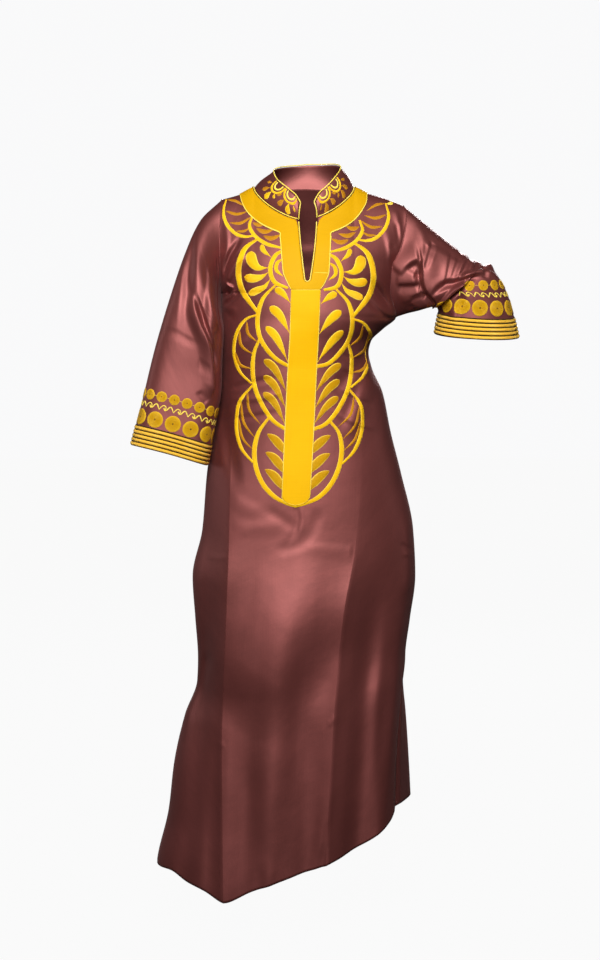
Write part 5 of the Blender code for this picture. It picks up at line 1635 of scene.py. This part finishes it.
def cuffWork(side):
    form = sleeveForms[side]
    cut = cuffCut
    start, raised = cut["offset"][side], cut["raised"][side]
    lap = form.lap[-1]
    stripes = Needlework(form.trim)
    around = np.linspace(0, lap, cut["lapSteps"] + 1)
    step = cut["band"] / cut["stripes"]
    across = np.array(cut["stripeAcross"])
    places = cut["stripeStart"] + cut["stripeWidth"] * across
    rise = np.array(cut["stripeRise"]) * cut["stripeHeight"]
    between, groundRise = np.array(cut["groundAcross"]), np.array(cut["groundRise"])
    strips = (
        (places, across, cut["stripeLift"] + rise),
        (between, np.linspace(0, 1, len(between)), cut["groundLift"] + groundRise),
    )
    for i in range(cut["stripes"]):
        for finish, (places, u, lift) in enumerate(strips):
            up = cut["bandUp"] + i * step + step * places
            grid = form.trim(around[:-1, None], up[None], np.broadcast_to(lift, (len(around) - 1, len(lift))))
            v = np.repeat(around[:, None], len(u), 1)
            stripes.keep((grid, np.broadcast_to(u, v.shape), v), finish)
    name = "cuffStripes" + side.capitalize()
    away = awayFrom(form.oval(np.array(0.94), np.array(0.0))[1])
    stripes.build(name, away, ["cuff_band_" + side], (stripeThread, threads[dark]))

    def isShown(x, up):
        # the bent sleeve's puff lies over the upper rows of its inner side
        return side == "right" or form.along(x, up) > cut["puff"]

    work = Needlework(form.trim)
    bigUp, smallUp = cut["bigUp"] * raised, cut["smallUp"] * raised
    for i in range(cut["bigCount"]):
        centre = (lap * (i + start[0]) / cut["bigCount"], bigUp)
        if isShown(centre[0], bigUp + 0.004):
            work.disc(centre, cut["bigDisc"])
    for i in range(cut["smallCount"]):
        centre = (lap * (i + start[1]) / cut["smallCount"], smallUp)
        if not isShown(*centre):
            continue
        work.disc(centre, cut["smallDisc"])
        first = centre[0] + cut["smallDisc"]
        last = centre[0] + lap / cut["smallCount"] - cut["smallDisc"]
        if isShown(last, smallUp):
            work.stroke([(first, smallUp), ((first + last) / 2, smallUp + 0.0003), (last, smallUp)],
                        0.0009, pale, (1.0, 1.0), 0.0005, 0.0016)
    waves = cut["smallCount"] - 2
    pitch = lap / waves
    for i in range(waves):
        base = np.array([lap * i / waves, cut["scrollUp"] * raised])
        for points, width in cut["scroll"]:
            points = np.array(points) * np.array([pitch, 1.0]) + base
            if not isShown(*points[len(points) // 2]):
                continue
            work.stroke(points, width, pale, (0.8, 0.7), 0.0007, 0.0012)
    work.build("cuffEmbroidery" + side.capitalize(), away)


for side in ("right", "left"):
    cuffWork(side)
print("cuffs stitched")

# Sewn seams at the armholes
seamCut = {"spacing": 0.004, "radius": 0.0011, "sides": 6}
seams = Needlework(None)
for side in ("right", "left"):
    ring = sleeveForms[side].ring
    seams.keep(cordGrid(pipePath(ring, seamCut["spacing"]), seamCut["radius"], seamCut["sides"]), 0)
seams.build("armholeSeams", None, (), (brownSatin,))
print("seams made")

# Stage: pale floor and backdrop, soft lights, and the camera at the photograph's angle
stageCut = {
    "floor": -1.494,
    "lens": 60.0,
    "camera": (-0.008, -3.1858, -0.28285),
    "tilt": 84.6,
    # finish, its own grey, glow colour and glow strength
    "grounds": {
        "floor": ("paleFloor", 0.008, (1.0, 1.0, 1.0), 0.948),
        "backdrop": ("paleBackdrop", 0.0, (0.965, 0.965, 0.97), 0.985),
    },
    "worldGlow": 0.02,
    "lights": (
        # name, place, aim, size, power, colour
        ("keyLight", (-0.3, -2.9, 0.9), (-0.05, 0.0, -0.45), (1.2, 1.0), 108.0, (1.0, 0.98, 0.99)),
        ("topKey", (0.2, -1.9, 1.7), (0.05, 0.0, -0.1), (0.9, 0.7), 36.0, (1.0, 0.98, 0.99)),
        ("lowFill", (0.3, -3.4, -0.5), (0.0, 0.0, -0.9), (0.8, 0.8), 3.0, (1.0, 0.93, 0.88)),
        ("leftStrip", (-2.2, 0.5, 0.1), (-0.2, 0.0, -0.4), (0.4, 1.6), 6.0, (1.0, 0.97, 0.97)),
        ("rightStrip", (2.2, -0.1, -0.3), (0.2, 0.0, -0.7), (0.4, 1.6), 2.5, (1.0, 0.93, 0.9)),
        ("backKey", (0.6, 3.0, 0.7), (0.0, 0.0, -0.6), (1.1, 1.0), 80.0, (1.0, 0.98, 0.99)),
    ),
}
bpy.ops.mesh.primitive_plane_add(size=26.0, location=(0, 0, stageCut["floor"]))
bpy.context.object.name = "floor"
bpy.ops.mesh.primitive_cylinder_add(vertices=96, radius=12.0, depth=20.0)
bpy.context.object.name = "backdrop"
bpy.context.object.data.shade_smooth()
for name, (finishName, grey, glowColour, glow) in stageCut["grounds"].items():
    stagePiece = bpy.data.objects[name]
    stagePiece.data.materials.append(Finish(finishName).setShader({
        "Base Color": (grey,) * 3, "Roughness": 0.9, "Specular IOR Level": 0.0,
        "Emission Color": glowColour, "Emission Strength": glow,
    }))
    # a studio's pale surroundings, which cast no light of their own on the cloth
    stagePiece.visible_diffuse = False
    stagePiece.visible_glossy = False
    stagePiece.visible_shadow = False

for name, place, aim, size, power, colour in stageCut["lights"]:
    light = bpy.data.lights.new(name, "AREA")
    light.shape = "RECTANGLE"
    light.size, light.size_y = size
    light.energy = power
    light.color = colour
    lamp = bpy.data.objects.new(name, light)
    bpy.context.scene.collection.objects.link(lamp)
    lamp.location = place
    lamp.visible_camera = False
    lamp.rotation_euler = (Vector(aim) - Vector(place)).to_track_quat("-Z", "Y").to_euler()

world = bpy.data.worlds.new("studio")
world.use_nodes = True
world.node_tree.nodes["Background"].inputs["Color"].default_value = (1.0, 0.97, 0.95, 1.0)
world.node_tree.nodes["Background"].inputs["Strength"].default_value = stageCut["worldGlow"]
bpy.context.scene.world = world

camera = bpy.data.cameras.new("camera")
camera.lens = stageCut["lens"]
camera.sensor_width = 36.0
eye = bpy.data.objects.new("camera", camera)
bpy.context.scene.collection.objects.link(eye)
eye.location = stageCut["camera"]
eye.rotation_euler = (math.radians(stageCut["tilt"]), 0, 0)
bpy.context.scene.camera = eye
bpy.context.scene.view_settings.view_transform = "Standard"
